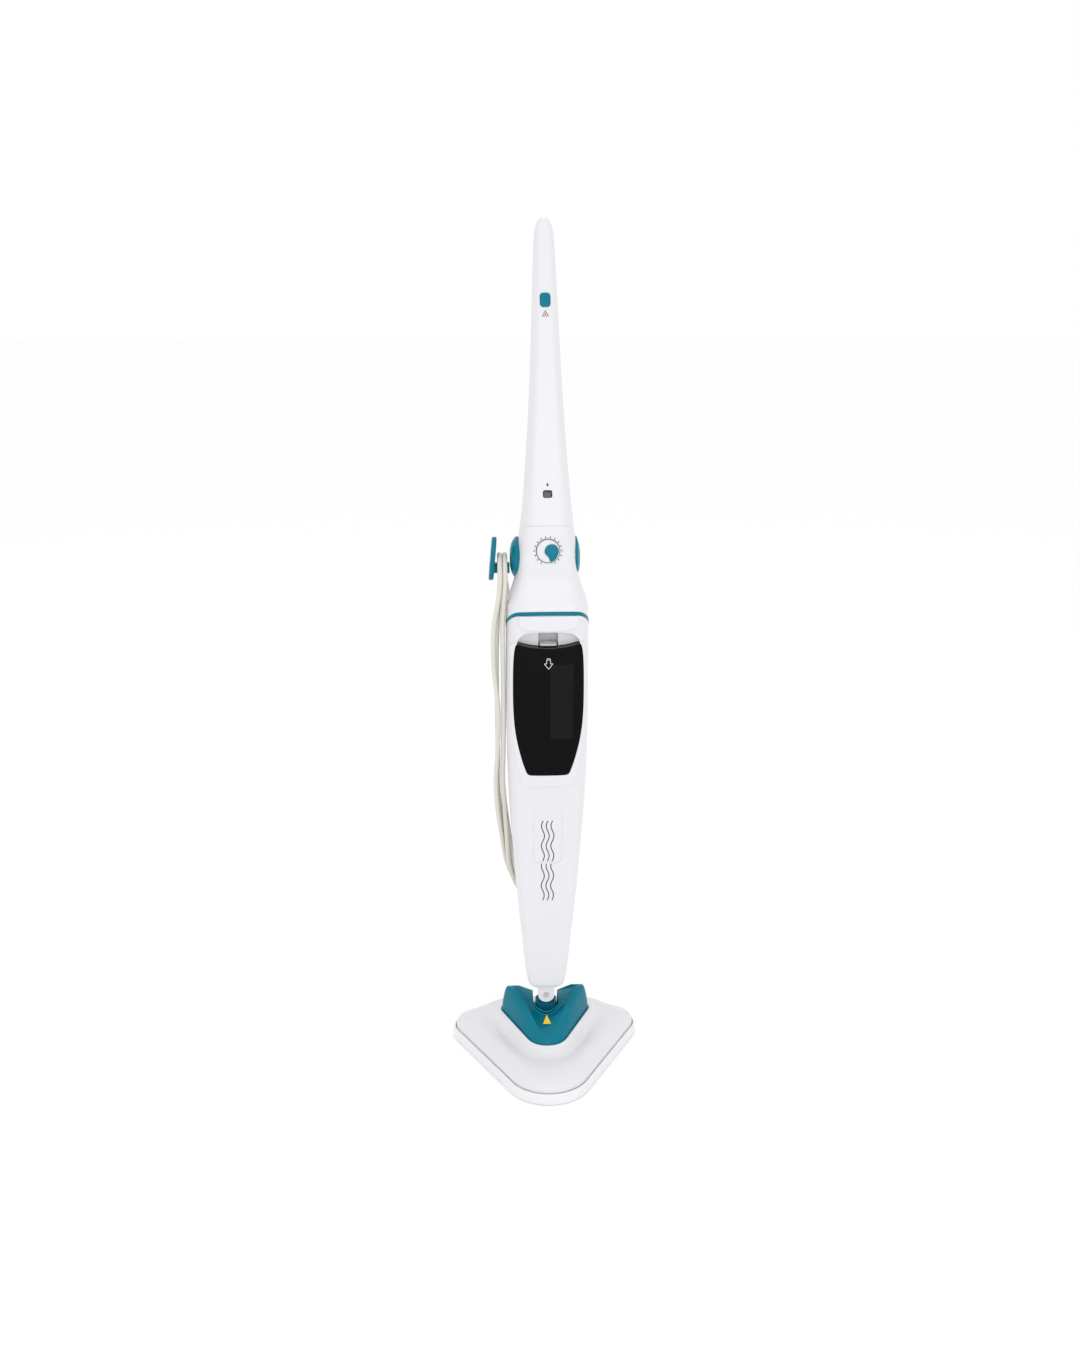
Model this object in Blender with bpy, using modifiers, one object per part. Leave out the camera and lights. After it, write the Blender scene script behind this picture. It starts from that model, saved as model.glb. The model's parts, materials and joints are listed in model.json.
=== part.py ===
# Upright steam mop: triangular floor head on a clip-on carpet glider, two-axis neck,
# tall body with a removable water tank, steam regulator knob and a stick handle.
# Metres, +Z up, front of the mop towards -Y.
import bpy
import bmesh
import math
from mathutils import Vector, Matrix

for _o in list(bpy.data.objects):
    bpy.data.objects.remove(_o, do_unlink=True)

# ---------------------------------------------------------------- dimensions
GAP = 0.0003            # clearance between pieces that touch
WALL = 0.0025           # moulded shell thickness
Y_SHIFT = 0.0205        # puts the footprint centre on the origin
HEAD_BACK_R = 0.036     # rear corner radius of the floor head
HEAD_FRONT_R = 0.065    # nose radius of the floor head
HEAD_BACK_X = 0.1055
HEAD_BACK_Y = 0.044
HEAD_FRONT_Y = -0.085
PITCH_Z = 0.050         # height of the recline pin
ROLL_Z = 0.101          # height of the side-swing pin
BODY_Z0 = 0.1163
BODY_Z1 = 0.8280
HANDLE_Z1 = 1.2200
SPLIT_Y = 0.006         # parting plane of the body shells
TANK_BACK_Y = -0.012
BAY_BACK_Y = -0.0115
RECESS_Y = -0.0490
SEAM_SLOPE = 0.45       # the joint line between body and handle falls towards the back
SEAM_Z = 0.8272         # its height at the front
BAND_SLOPE = 0.60       # the accent band falls towards the back too
KNOB_Z = 0.794
KNOB_R = 0.0152
BUTTON_Z = 1.116
CORD_D = 0.0068
CAP_CENTRE_Z = 0.7755    # centre of the round side caps
ARM_Z = 0.7615          # centre of the upper hook arm
HANK_R = 0.0082

# height, half width, front y, back y, half width of the flat front panel
BODY = [
    (0.1163, 0.0205, -0.0180, 0.0180, 0.0150),
    (0.1210, 0.0262, -0.0222, 0.0222, 0.0205),
    (0.1350, 0.0296, -0.0252, 0.0248, 0.0245),
    (0.2000, 0.0365, -0.0318, 0.0308, 0.0305),
    (0.2530, 0.0418, -0.0362, 0.0342, 0.0345),
    (0.3200, 0.0474, -0.0418, 0.0375, 0.0380),
    (0.3800, 0.0515, -0.0466, 0.0400, 0.0405),
    (0.4300, 0.0546, -0.0512, 0.0420, 0.0420),
    (0.5000, 0.0568, -0.0565, 0.0440, 0.0430),
    (0.5700, 0.0576, -0.0595, 0.0455, 0.0435),
    (0.6500, 0.0573, -0.0598, 0.0460, 0.0430),
    (0.7000, 0.0567, -0.0588, 0.0460, 0.0415),
    (0.7140, 0.0562, -0.0580, 0.0458, 0.0405),
    (0.7280, 0.0520, -0.0522, 0.0455, 0.0370),
    (0.7460, 0.0458, -0.0462, 0.0448, 0.0325),
    (0.7600, 0.0430, -0.0446, 0.0441, 0.0292),
    (0.7680, 0.0418, -0.0451, 0.0438, 0.0284),
    (0.8000, 0.0392, -0.0419, 0.0420, 0.0258),
    (0.8280, 0.0362, -0.0391, 0.0400, 0.0226),
]
# height, centre y, half depth, half width, half width of the flat front face
HANDLE = [
    (0.7850, -0.0002, 0.0428, 0.0402, 0.0268),
    (0.8000, 0.0000, 0.04195, 0.0392, 0.0258),
    (0.8283, 0.0005, 0.0393, 0.0360, 0.0225),
    (0.8500, 0.0030, 0.0350, 0.0335, 0.0222),
    (0.8700, 0.0060, 0.0315, 0.0316, 0.0215),
    (0.9200, 0.0145, 0.0262, 0.0276, 0.0185),
    (0.9800, 0.0275, 0.0222, 0.0236, 0.0150),
    (1.0400, 0.0435, 0.0198, 0.0204, 0.0120),
    (1.0800, 0.0555, 0.0188, 0.0188, 0.0100),
    (1.1200, 0.0680, 0.0180, 0.0172, 0.0090),
    (1.1600, 0.0807, 0.0172, 0.0155, 0.0083),
    (1.1900, 0.0902, 0.0160, 0.0141, 0.0078),
    (1.2050, 0.0950, 0.0140, 0.0124, 0.0068),
    (1.2140, 0.0978, 0.0108, 0.0096, 0.0052),
    (1.2200, 0.0996, 0.0060, 0.0052, 0.0028),
]
# half outline of the tank front, bottom centre to top centre
TANK = [(0.0, 0.4755), (0.0200, 0.4757), (0.0268, 0.4764), (0.0296, 0.4790), (0.0325, 0.4870), (0.0362, 0.4985),
        (0.0413, 0.5190), (0.0447, 0.5370), (0.0470, 0.5560), (0.0482, 0.5800), (0.0484, 0.6050), (0.0480, 0.6350),
        (0.0467, 0.6560), (0.0446, 0.6672), (0.0415, 0.6686), (0.0300, 0.6652), (0.0180, 0.6630), (0.0, 0.6620)]
# half outline of the raised surround below and beside the tank
BEZEL = [(0.0, 0.4583), (0.0300, 0.4590), (0.0345, 0.4608), (0.0378, 0.4655), (0.0412, 0.4800), (0.0465, 0.5040), (0.0505, 0.5320),
         (0.0524, 0.5600), (0.0532, 0.6000), (0.0529, 0.6400), (0.0520, 0.6740), (0.0, 0.6740)]
# half outline of the grip bar over the finger recess
BAR = [(0.0, 0.6880), (0.0200, 0.6890), (0.0340, 0.6912), (0.0385, 0.6935), (0.0400, 0.6970), (0.0400, 0.7060), (0.0, 0.7060)]

# ---------------------------------------------------------------- collections and materials
COLL = bpy.data.collections.new("steam_mop")
bpy.context.scene.collection.children.link(COLL)


def material(name, rgb, rough=0.4, metal=0.0, alpha=1.0):
    m = bpy.data.materials.new(name)
    m.use_nodes = True
    b = m.node_tree.nodes["Principled BSDF"]
    b.inputs["Base Color"].default_value = (rgb[0], rgb[1], rgb[2], 1.0)
    b.inputs["Roughness"].default_value = rough
    b.inputs["Metallic"].default_value = metal
    b.inputs["Alpha"].default_value = alpha
    m.diffuse_color = (rgb[0], rgb[1], rgb[2], alpha)
    return m


_mats = {}


def mat_for(name, key):
    base = {
        "white": ((0.86, 0.87, 0.90), 0.28, 0.0),
        "teal": ((0.010, 0.180, 0.250), 0.25, 0.0),
        "smoke": ((0.010, 0.011, 0.013), 0.08, 0.0),
        "frost": ((0.80, 0.83, 0.86), 0.45, 0.0),
        "steel": ((0.60, 0.61, 0.62), 0.30, 1.0),
        "alu": ((0.66, 0.67, 0.68), 0.42, 1.0),
        "black": ((0.020, 0.020, 0.022), 0.45, 0.0),
        "rubber": ((0.030, 0.030, 0.032), 0.70, 0.0),
        "cord": ((0.74, 0.72, 0.66), 0.55, 0.0),
        "cloth": ((0.78, 0.80, 0.84), 0.90, 0.0),
        "brass": ((0.72, 0.53, 0.22), 0.35, 1.0),
        "pcb": ((0.03, 0.20, 0.08), 0.50, 0.0),
        "silicone": ((0.72, 0.70, 0.66), 0.50, 0.0),
        "grey": ((0.35, 0.36, 0.38), 0.45, 0.0),
        "lens": ((0.004, 0.004, 0.005), 0.05, 0.0),
    }[key]
    return material("mat_" + name, base[0], base[1], base[2])


# ---------------------------------------------------------------- mesh helpers
def finish(bm, name):
    bmesh.ops.recalc_face_normals(bm, faces=bm.faces)
    me = bpy.data.meshes.new(name)
    bm.to_mesh(me)
    bm.free()
    ob = bpy.data.objects.new(name, me)
    COLL.objects.link(ob)
    return ob


def loft(name, rings, ring_closed=False):
    """Skin a stack of closed rings, capped at both ends or joined into a loop."""
    bm = bmesh.new()
    vs = [[bm.verts.new(p) for p in ring] for ring in rings]
    n = len(rings[0])
    m = len(rings)
    for i in range(m if ring_closed else m - 1):
        a = vs[i]
        b = vs[(i + 1) % m]
        for j in range(n):
            bm.faces.new((a[j], a[(j + 1) % n], b[(j + 1) % n], b[j]))
    if not ring_closed:
        bm.faces.new(list(reversed(vs[0])))
        bm.faces.new(vs[-1])
    return finish(bm, name)


def prism(name, pts, lo, hi, axis="Z"):
    """Extrude a flat outline along an axis."""
    bm = bmesh.new()
    if axis == "Z":
        vs = [bm.verts.new((p[0], p[1], lo)) for p in pts]
        move = Vector((0, 0, hi - lo))
    elif axis == "Y":
        vs = [bm.verts.new((p[0], lo, p[1])) for p in pts]
        move = Vector((0, hi - lo, 0))
    else:
        vs = [bm.verts.new((lo, p[0], p[1])) for p in pts]
        move = Vector((hi - lo, 0, 0))
    f = bm.faces.new(vs)
    r = bmesh.ops.extrude_face_region(bm, geom=[f])
    bmesh.ops.translate(bm, vec=move, verts=[g for g in r["geom"] if isinstance(g, bmesh.types.BMVert)])
    return finish(bm, name)


def box(name, x0, x1, y0, y1, z0, z1):
    bm = bmesh.new()
    bmesh.ops.create_cube(bm, size=1.0)
    bmesh.ops.scale(bm, vec=(x1 - x0, y1 - y0, z1 - z0), verts=bm.verts)
    bmesh.ops.translate(bm, vec=((x0 + x1) / 2, (y0 + y1) / 2, (z0 + z1) / 2), verts=bm.verts)
    return finish(bm, name)


def along(direction):
    d = Vector(direction).normalized()
    return Vector((0, 0, 1)).rotation_difference(d).to_matrix().to_4x4()


def turned(name, profile, centre, direction=(0, 0, 1), steps=24):
    """Turn a radius/height profile about an axis with the Screw modifier."""
    bm = bmesh.new()
    pts = list(profile)
    if pts[0][1] < pts[-1][1]:
        pts = list(reversed(pts))
    vs = [bm.verts.new((max(r, 0.0), 0.0, h)) for r, h in pts]
    for a, b in zip(vs, vs[1:]):
        bm.edges.new((a, b))
    me = bpy.data.meshes.new(name)
    bm.to_mesh(me)
    bm.free()
    ob = bpy.data.objects.new(name, me)
    COLL.objects.link(ob)
    s = ob.modifiers.new("turn", "SCREW")
    s.axis = "Z"
    s.angle = 2 * math.pi
    s.steps = steps
    s.render_steps = steps
    s.use_merge_vertices = True
    s.merge_threshold = 0.00005
    bake(ob, True)
    ob.data.transform(Matrix.Translation(Vector(centre)) @ along(direction))
    return ob


def bake(ob, orient=False):
    dg = bpy.context.evaluated_depsgraph_get()
    dg.update()
    me = bpy.data.meshes.new_from_object(ob.evaluated_get(dg))
    ob.modifiers.clear()
    old = ob.data
    ob.data = me
    me.name = ob.name
    bm = bmesh.new()
    bm.from_mesh(me)
    bmesh.ops.remove_doubles(bm, verts=bm.verts, dist=0.00001)
    bmesh.ops.dissolve_degenerate(bm, edges=bm.edges, dist=0.00001)
    if orient:
        bmesh.ops.recalc_face_normals(bm, faces=bm.faces)
    bm.to_mesh(me)
    bm.free()
    if isinstance(old, bpy.types.Mesh):
        bpy.data.meshes.remove(old)
    return ob


def combine(ob, other, how):
    m = ob.modifiers.new("b", "BOOLEAN")
    m.operation = how
    m.solver = "EXACT"
    m.object = other
    bake(ob)
    bpy.data.objects.remove(other, do_unlink=True)
    return ob


def cut(ob, other):
    return combine(ob, other, "DIFFERENCE")


def add(ob, other):
    return combine(ob, other, "UNION")


def keep(ob, other):
    return combine(ob, other, "INTERSECT")


def bevel(ob, width, segments=2, angle=40.0):
    m = ob.modifiers.new("edge", "BEVEL")
    m.width = width
    m.segments = segments
    m.limit_method = "ANGLE"
    m.angle_limit = math.radians(angle)
    m.use_clamp_overlap = True
    return bake(ob)


def tube(name, pts, radius, resolution=2, cyclic=False):
    cu = bpy.data.curves.new(name, "CURVE")
    cu.dimensions = "3D"
    sp = cu.splines.new("POLY")
    sp.points.add(len(pts) - 1)
    for p, q in zip(sp.points, pts):
        p.co = (q[0], q[1], q[2], 1.0)
    sp.use_cyclic_u = cyclic
    cu.bevel_depth = radius
    cu.bevel_resolution = resolution
    cu.use_fill_caps = not cyclic
    ob = bpy.data.objects.new(name, cu)
    COLL.objects.link(ob)
    dg = bpy.context.evaluated_depsgraph_get()
    dg.update()
    me = bpy.data.meshes.new_from_object(ob.evaluated_get(dg))
    bpy.data.objects.remove(ob, do_unlink=True)
    bm = bmesh.new()
    bm.from_mesh(me)
    bmesh.ops.remove_doubles(bm, verts=bm.verts, dist=0.00001)
    bpy.data.meshes.remove(me)
    return finish(bm, name)


def piece(ob, key, pivot=None):
    """Name the material, set smooth shading off and put the origin on the joint axis."""
    ob.data.materials.clear()
    ob.data.materials.append(mat_for(ob.name, key))
    if pivot is not None:
        p = Vector(pivot)
        ob.data.transform(Matrix.Translation(-p))
        ob.location = p
    return ob


# ---------------------------------------------------------------- curves
def pchip(xs, ys, x):
    n = len(xs)
    if x <= xs[0]:
        return ys[0]
    if x >= xs[-1]:
        return ys[-1]
    h = [xs[i + 1] - xs[i] for i in range(n - 1)]
    d = [(ys[i + 1] - ys[i]) / h[i] for i in range(n - 1)]
    m = [d[0]]
    for i in range(1, n - 1):
        if d[i - 1] * d[i] <= 0:
            m.append(0.0)
        else:
            w1 = 2 * h[i] + h[i - 1]
            w2 = h[i] + 2 * h[i - 1]
            m.append((w1 + w2) / (w1 / d[i - 1] + w2 / d[i]))
    m.append(d[-1])
    k = 0
    while x > xs[k + 1]:
        k += 1
    t = (x - xs[k]) / h[k]
    return ((2 * t ** 3 - 3 * t * t + 1) * ys[k] + (t ** 3 - 2 * t * t + t) * h[k] * m[k]
            + (-2 * t ** 3 + 3 * t * t) * ys[k + 1] + (t ** 3 - t * t) * h[k] * m[k + 1])


def table(rows, z):
    xs = [r[0] for r in rows]
    return [pchip(xs, [r[i] for r in rows], z) for i in range(1, len(rows[0]))]


def body_ring(z, off=0.0, flat=5, side=5, back=14):
    """Section of the body: a slightly crowned front panel, soft side facets and a round back."""
    a, yf, yb, fw = table(BODY, z)
    a += off
    yf -= off
    yb += off
    fw = max(fw + 0.5 * off, 0.004)
    ys = yf + 0.36 * (yb - yf)
    crown = 0.0010
    out = []
    for i in range(flat):
        u = -1 + 2 * i / (flat - 1)
        out.append(Vector((fw * u, yf + crown * u * u, z)))
    p = 1.65
    for i in range(1, side + 1):
        t = 0.5 * math.pi * i / side
        out.append(Vector((fw + (a - fw) * math.sin(t) ** (2 / p), ys + (yf + crown - ys) * math.cos(t) ** (2 / p), z)))
    q = 2.5
    for i in range(1, back):
        t = math.pi * i / back
        c = math.cos(t)
        out.append(Vector((a * math.copysign(abs(c) ** (2 / q), c), ys + (yb - ys) * abs(math.sin(t)) ** (2 / q), z)))
    for i in range(side, 0, -1):
        t = 0.5 * math.pi * i / side
        out.append(Vector((-(fw + (a - fw) * math.sin(t) ** (2 / p)), ys + (yf + crown - ys) * math.cos(t) ** (2 / p), z)))
    return out


def body_loft(name, off=0.0, z0=BODY_Z0, z1=BODY_Z1, n=28, stations=None):
    zs = stations or [r[0] for r in BODY]
    zs = [z0] + [z for z in zs if z0 + 0.002 < z < z1 - 0.002] + [z1]
    a, b, c = (5, 5, 14) if n > 26 else (4, 3, 10)
    return loft(name, [body_ring(z, off, a, b, c) for z in zs])


def handle_ring(z, off=0.0, rows=None):
    """Section of the handle. Low down it has the section of the body, higher up a plain oval with a flat face."""
    yc, hd, hw, fw = table(HANDLE, z)
    hd += off
    hw += off
    fw = max(fw + off * 0.4, 0.0015)
    w = min(max((z - 0.810) / 0.090, 0.0), 1.0)
    side_y = yc - (0.28 - 0.06 * w) * hd
    yf = yc - hd
    pts = [Vector((-fw + 2 * fw * i / 4, yf, z)) for i in range(5)]
    right = []
    for i in range(1, 4):
        t = i / 4
        bow = math.sin(math.pi * t) * 0.09 * (hw - fw)
        a = Vector((fw + (hw - fw) * t + bow, yf + (side_y - yf) * t, z))
        k = 0.5 * math.pi * t
        b = Vector((fw + (hw - fw) * math.sin(k) ** 1.212, side_y + (yf - side_y) * math.cos(k) ** 1.212, z))
        right.append(b.lerp(a, w))
    rear = []
    for i in range(15):
        t = -0.16 + (math.pi + 0.32) * i / 14
        x = hw * math.cos(t) / math.cos(0.16) if abs(math.cos(t)) > math.cos(0.16) else hw * math.cos(t)
        a = Vector((x, side_y + (yc + hd - side_y) * max(math.sin(t), 0.0) if i not in (0, 14) else side_y, z))
        t = math.pi * i / 14
        c = math.cos(t)
        b = Vector((hw * math.copysign(abs(c) ** 0.8, c), side_y + (yc + hd - side_y) * max(math.sin(t), 0.0) ** 0.8, z))
        rear.append(b.lerp(a, w))
    return pts + right + rear + [Vector((-v.x, v.y, v.z)) for v in reversed(right)]


def slant(name, z_front, slope, up, y_front=-0.0391):
    """Everything above (or below) a plane that falls towards the back."""
    a = z_front - slope * (-0.2 - y_front)
    b = z_front - slope * (0.2 - y_front)
    far = 1.6 if up else -0.4
    pts = [(-0.2, a), (0.2, b), (0.2, far), (-0.2, far)]
    return prism(name, pts, -0.3, 0.3, "X")


def slant_slab(name, z_mid, half, slope, y_front):
    a = z_mid - slope * (-0.09 - y_front)
    b = z_mid - slope * (0.05 - y_front)
    return prism(name, [(-0.09, a - half), (0.05, b - half), (0.05, b + half), (-0.09, a + half)], -0.2, 0.2, "X")


def hull_outline(circles, off=0.0, per=8, straight=2):
    """Outline of a belt round three circles, moved inwards by off. Counter-clockwise from the rear right."""
    (bx, by, br), (fx, fy, fr) = circles
    br = max(br - off, 0.0005)
    fr = max(fr - off, 0.0005)
    dx = bx - fx
    dy = by - fy
    length = math.hypot(dx, dy)
    base = math.atan2(dy, dx)
    tilt = math.acos(max(-1.0, min(1.0, (fr - br) / length)))
    ang = base - tilt              # outward normal of the right flank
    pts = []
    for i in range(per + 1):       # rear right corner
        t = ang + (math.pi / 2 - ang) * i / per
        pts.append((bx + br * math.cos(t), by + br * math.sin(t)))
    for i in range(1, straight + 1):
        x = bx - 2 * bx * i / (straight + 1)
        pts.append((x, by + br))
    for i in range(per + 1):       # rear left corner
        t = math.pi / 2 + (math.pi / 2 - ang) * i / per
        pts.append((-bx + br * math.cos(t), by + br * math.sin(t)))
    a0 = math.pi - ang
    p0 = (-bx + br * math.cos(a0), by + br * math.sin(a0))
    p1 = (fx + fr * math.cos(a0), fy + fr * math.sin(a0))
    for i in range(1, straight + 1):
        t = i / (straight + 1)
        pts.append((p0[0] + (p1[0] - p0[0]) * t, p0[1] + (p1[1] - p0[1]) * t))
    a1 = 2 * math.pi + ang
    for i in range(per + 1):       # nose
        t = a0 + (a1 - a0) * i / per
        pts.append((fx + fr * math.cos(t), fy + fr * math.sin(t)))
    q0 = (fx + fr * math.cos(ang), fy + fr * math.sin(ang))
    q1 = (bx + br * math.cos(ang), by + br * math.sin(ang))
    for i in range(1, straight + 1):
        t = i / (straight + 1)
        pts.append((q0[0] + (q1[0] - q0[0]) * t, q0[1] + (q1[1] - q0[1]) * t))
    return pts


HEAD = ((HEAD_BACK_X, HEAD_BACK_Y, HEAD_BACK_R), (0.0, HEAD_FRONT_Y, HEAD_FRONT_R))
YOKE = ((0.0500, 0.0290, 0.0160), (0.0, -0.0310, 0.0315))


def mirror_outline(half):
    right = [(x, z) for x, z in half]
    left = [(-x, z) for x, z in reversed(half) if x > 0]
    return right + left


def offset_outline(pts, d):
    """Move a counter-clockwise outline outwards by d."""
    n = len(pts)
    out = []
    for i in range(n):
        p0 = Vector(pts[i - 1])
        p1 = Vector(pts[i])
        p2 = Vector(pts[(i + 1) % n])
        a = (p1 - p0).normalized()
        b = (p2 - p1).normalized()
        na = Vector((a.y, -a.x))
        nb = Vector((b.y, -b.x))
        k = na + nb
        k = k / max(k.length_squared / 2, 0.6)
        out.append((p1.x + k.x * d, p1.y + k.y * d))
    return out


def rounded_rect(cx, cy, w, h, r, per=4):
    pts = []
    for sx, sy, a0 in ((1, -1, -90), (1, 1, 0), (-1, 1, 90), (-1, -1, 180)):
        for i in range(per + 1):
            t = math.radians(a0 + 90 * i / per)
            pts.append((cx + sx * (w / 2 - r) + r * math.cos(t), cy + sy * (h / 2 - r) + r * math.sin(t)))
    return pts


def smooth_path(pts, count, cyclic=False):
    """Catmull-Rom through the route points, resampled at even steps."""
    n = len(pts)
    v = [Vector(p) for p in pts]
    dense = []
    segs = n if cyclic else n - 1
    for i in range(segs):
        p1 = v[i]
        p2 = v[(i + 1) % n]
        p0 = v[(i - 1) % n] if (cyclic or i > 0) else p1 + (p1 - p2)
        p3 = v[(i + 2) % n] if (cyclic or i + 2 < n) else p2 + (p2 - p1)
        for k in range(16):
            t = k / 16
            dense.append(0.5 * ((2 * p1) + (p2 - p0) * t + (2 * p0 - 5 * p1 + 4 * p2 - p3) * t * t
                                + (3 * p1 - p0 - 3 * p2 + p3) * t ** 3))
    dense.append(v[0].copy() if cyclic else v[-1].copy())
    acc = [0.0]
    for a, b in zip(dense, dense[1:]):
        acc.append(acc[-1] + (b - a).length)
    total = acc[-1]
    out = []
    m = count if cyclic else count - 1
    k = 0
    for i in range(count):
        s = total * i / m
        while k < len(acc) - 2 and acc[k + 1] < s:
            k += 1
        t = (s - acc[k]) / max(acc[k + 1] - acc[k], 1e-9)
        out.append(dense[k].lerp(dense[k + 1], t))
    return out


# ================================================================ floor head
g = prism("carpet_glider", hull_outline(HEAD, 0.0), 0.0, 0.0175)
g = bevel(g, 0.0018, 2, 40)
g = cut(g, prism("c", hull_outline(HEAD, 0.0026), 0.0026, 0.02))
g = cut(g, prism("c", hull_outline(HEAD, 0.0180), -0.01, 0.01))
piece(g, "frost")

p = prism("mop_pad", hull_outline(HEAD, 0.0045), 0.0029, 0.0082)
bevel(p, 0.0016, 2, 40)
piece(p, "cloth")

base = prism("head_base_plate", hull_outline(HEAD, 0.0036), 0.0096, 0.0162)
base = cut(base, prism("c", hull_outline(HEAD, 0.0066), 0.0124, 0.02))
base = cut(base, prism("c", rounded_rect(0.0, -0.060, 0.016, 0.016, 0.0079, 4), 0.0, 0.02))
SCREWS = ((0.0, -0.118), (0.098, 0.050), (-0.098, 0.050))
for sx, sy in SCREWS:
    base = add(base, turned("c", [(0.0, 0.0110), (0.0048, 0.0110), (0.0048, 0.0158), (0.0, 0.0158)], (sx, sy, 0), steps=14))
    base = cut(base, turned("c", [(0.0, 0.0), (0.0019, 0.0), (0.0019, 0.02), (0.0, 0.02)], (sx, sy, 0), steps=14))
    base = cut(base, turned("c", [(0.0, 0.0), (0.0034, 0.0), (0.0034, 0.0122), (0.0, 0.0122)], (sx, sy, 0), steps=14))
LUG_X0 = 0.0180
LUG_X1 = 0.0235
for side in (-1, 1):
    lug = prism("c", [(-0.016, 0.0120), (0.016, 0.0120), (0.0095, PITCH_Z + 0.004), (0.0060, PITCH_Z + 0.0082),
                      (0.0, PITCH_Z + 0.0100), (-0.0060, PITCH_Z + 0.0082), (-0.0095, PITCH_Z + 0.004)],
                side * LUG_X0, side * LUG_X1, "X")
    base = add(base, lug)
base = cut(base, turned("c", [(0.0, -0.04), (0.0035, -0.04), (0.0035, 0.04), (0.0, 0.04)], (0, 0, PITCH_Z), (1, 0, 0), 16))
piece(base, "white")

for i, (sx, sy) in enumerate(SCREWS):
    s = turned("head_screw_%d" % (i + 1), [(0.0, 0.0102), (0.0030, 0.0102), (0.0030, 0.0118), (0.0015, 0.0119), (0.0015, 0.0240), (0.0, 0.0250)],
               (sx, sy, 0), steps=8)
    piece(s, "steel")

strip = ((rounded_rect(0.072, 0.046, 0.070, 0.024, 0.004, 3), "grip_strip_right"),
         (rounded_rect(-0.072, 0.046, 0.070, 0.024, 0.004, 3), "grip_strip_left"),
         (rounded_rect(0.0, -0.100, 0.060, 0.022, 0.004, 3), "grip_strip_front"))
for pts, nm in strip:
    piece(prism(nm, pts, 0.0085, 0.0093), "black")

noz = turned("steam_nozzle", [(0.0030, 0.0100), (0.0072, 0.0100), (0.0072, 0.0130), (0.0110, 0.0130), (0.0110, 0.0155), (0.0055, 0.0160),
                              (0.0050, 0.0280), (0.0030, 0.0280), (0.0030, 0.0100)], (0, -0.060, 0), steps=20)
piece(noz, "black")

# top cover: rings from the outer edge inwards over the crown to the yoke opening, then back underneath


def blend_ring(t, z_fn, off_a, off_b):
    a = hull_outline(HEAD, off_a)
    b = hull_outline(YOKE, off_b)
    out = []
    for (x0, y0), (x1, y1) in zip(a, b):
        x = x0 + (x1 - x0) * t
        y = y0 + (y1 - y0) * t
        out.append(Vector((x, y, z_fn(x, y))))
    return out


def lip(y):
    # the raised lip round the yoke is highest at the sides and rear
    k = min(max((y + 0.060) / 0.080, 0.0), 1.0)
    return 0.0455 + 0.0085 * k


def hill(x, y):
    """The cover swells towards the rear, beside and behind the yoke."""
    a = min(max((y + 0.030) / 0.060, 0.0), 1.0)
    b = min(max((0.112 - abs(x)) / 0.060, 0.0), 1.0)
    return 0.0170 * a * a * (3 - 2 * a) * b * b * (3 - 2 * b)


outer = [
    (0.00, lambda x, y: 0.0165, 0.0044, 0.0),
    (0.00, lambda x, y: 0.0215, 0.0044, 0.0),
    (0.00, lambda x, y: 0.0262, 0.0058, 0.0),
    (0.00, lambda x, y: 0.0298, 0.0105, 0.0),
    (0.20, lambda x, y: 0.0340 + 0.50 * hill(x, y), 0.0105, -0.0160),
    (0.45, lambda x, y: 0.0366 + 0.85 * hill(x, y), 0.0105, -0.0160),
    (0.72, lambda x, y: 0.0362 + 0.95 * hill(x, y), 0.0105, -0.0160),
    (0.94, lambda x, y: 0.0346 + 1.00 * hill(x, y), 0.0105, -0.0160),
    (1.00, lambda x, y: 0.0362 + 0.98 * hill(x, y), 0.0105, -0.0120),
    (1.00, lambda x, y: 0.6 * lip(y) + 0.4 * (0.0362 + 0.98 * hill(x, y)), 0.0105, -0.0080),
    (1.00, lambda x, y: lip(y) - 0.0006, 0.0105, -0.0045),
    (1.00, lambda x, y: lip(y), 0.0105, -0.0028),
    (1.00, lambda x, y: lip(y) - 0.0015, 0.0105, -0.0012),
    (1.00, lambda x, y: lip(y) - 0.0080, 0.0105, -0.0010),
]
inner = [
    (1.00, lambda x, y: lip(y) - 0.0082, 0.0105, -0.0034),
    (1.00, lambda x, y: 0.0334 + 0.60 * hill(x, y), 0.0105, -0.0100),
    (0.90, lambda x, y: 0.0318 + 0.95 * hill(x, y), 0.0125, -0.0150),
    (0.45, lambda x, y: 0.0338 + 0.80 * hill(x, y), 0.0125, -0.0150),
    (0.20, lambda x, y: 0.0312 + 0.45 * hill(x, y), 0.0125, -0.0150),
    (0.00, lambda x, y: 0.0268, 0.0125, 0.0),
    (0.00, lambda x, y: 0.0232, 0.0074, 0.0),
    (0.00, lambda x, y: 0.0165, 0.0070, 0.0),
]
cover = loft("head_top_cover", [blend_ring(*r) for r in outer + inner], ring_closed=True)
piece(cover, "white")


def yoke_top(x, y):
    rise = min(max((y + 0.060) / 0.058, 0.0), 1.0)
    rise = rise * rise * (3 - 2 * rise)
    fall = min(max((y - 0.022) / 0.022, 0.0), 1.0)
    ear = min(max((abs(x) - 0.020) / 0.020, 0.0), 1.0)
    ear = ear * ear * (3 - 2 * ear)
    back = min(max((y + 0.010) / 0.025, 0.0), 1.0)
    return 0.0530 + 0.0325 * rise - 0.012 * fall * fall + 0.0085 * ear * back


def yoke_ring(off, lift, frac):
    out = []
    for x, y in hull_outline(YOKE, off):
        top = yoke_top(x, y)
        low = lip(y) - 0.0075
        out.append(Vector((x, y, low + (top - low) * frac + lift)))
    return out


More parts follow.
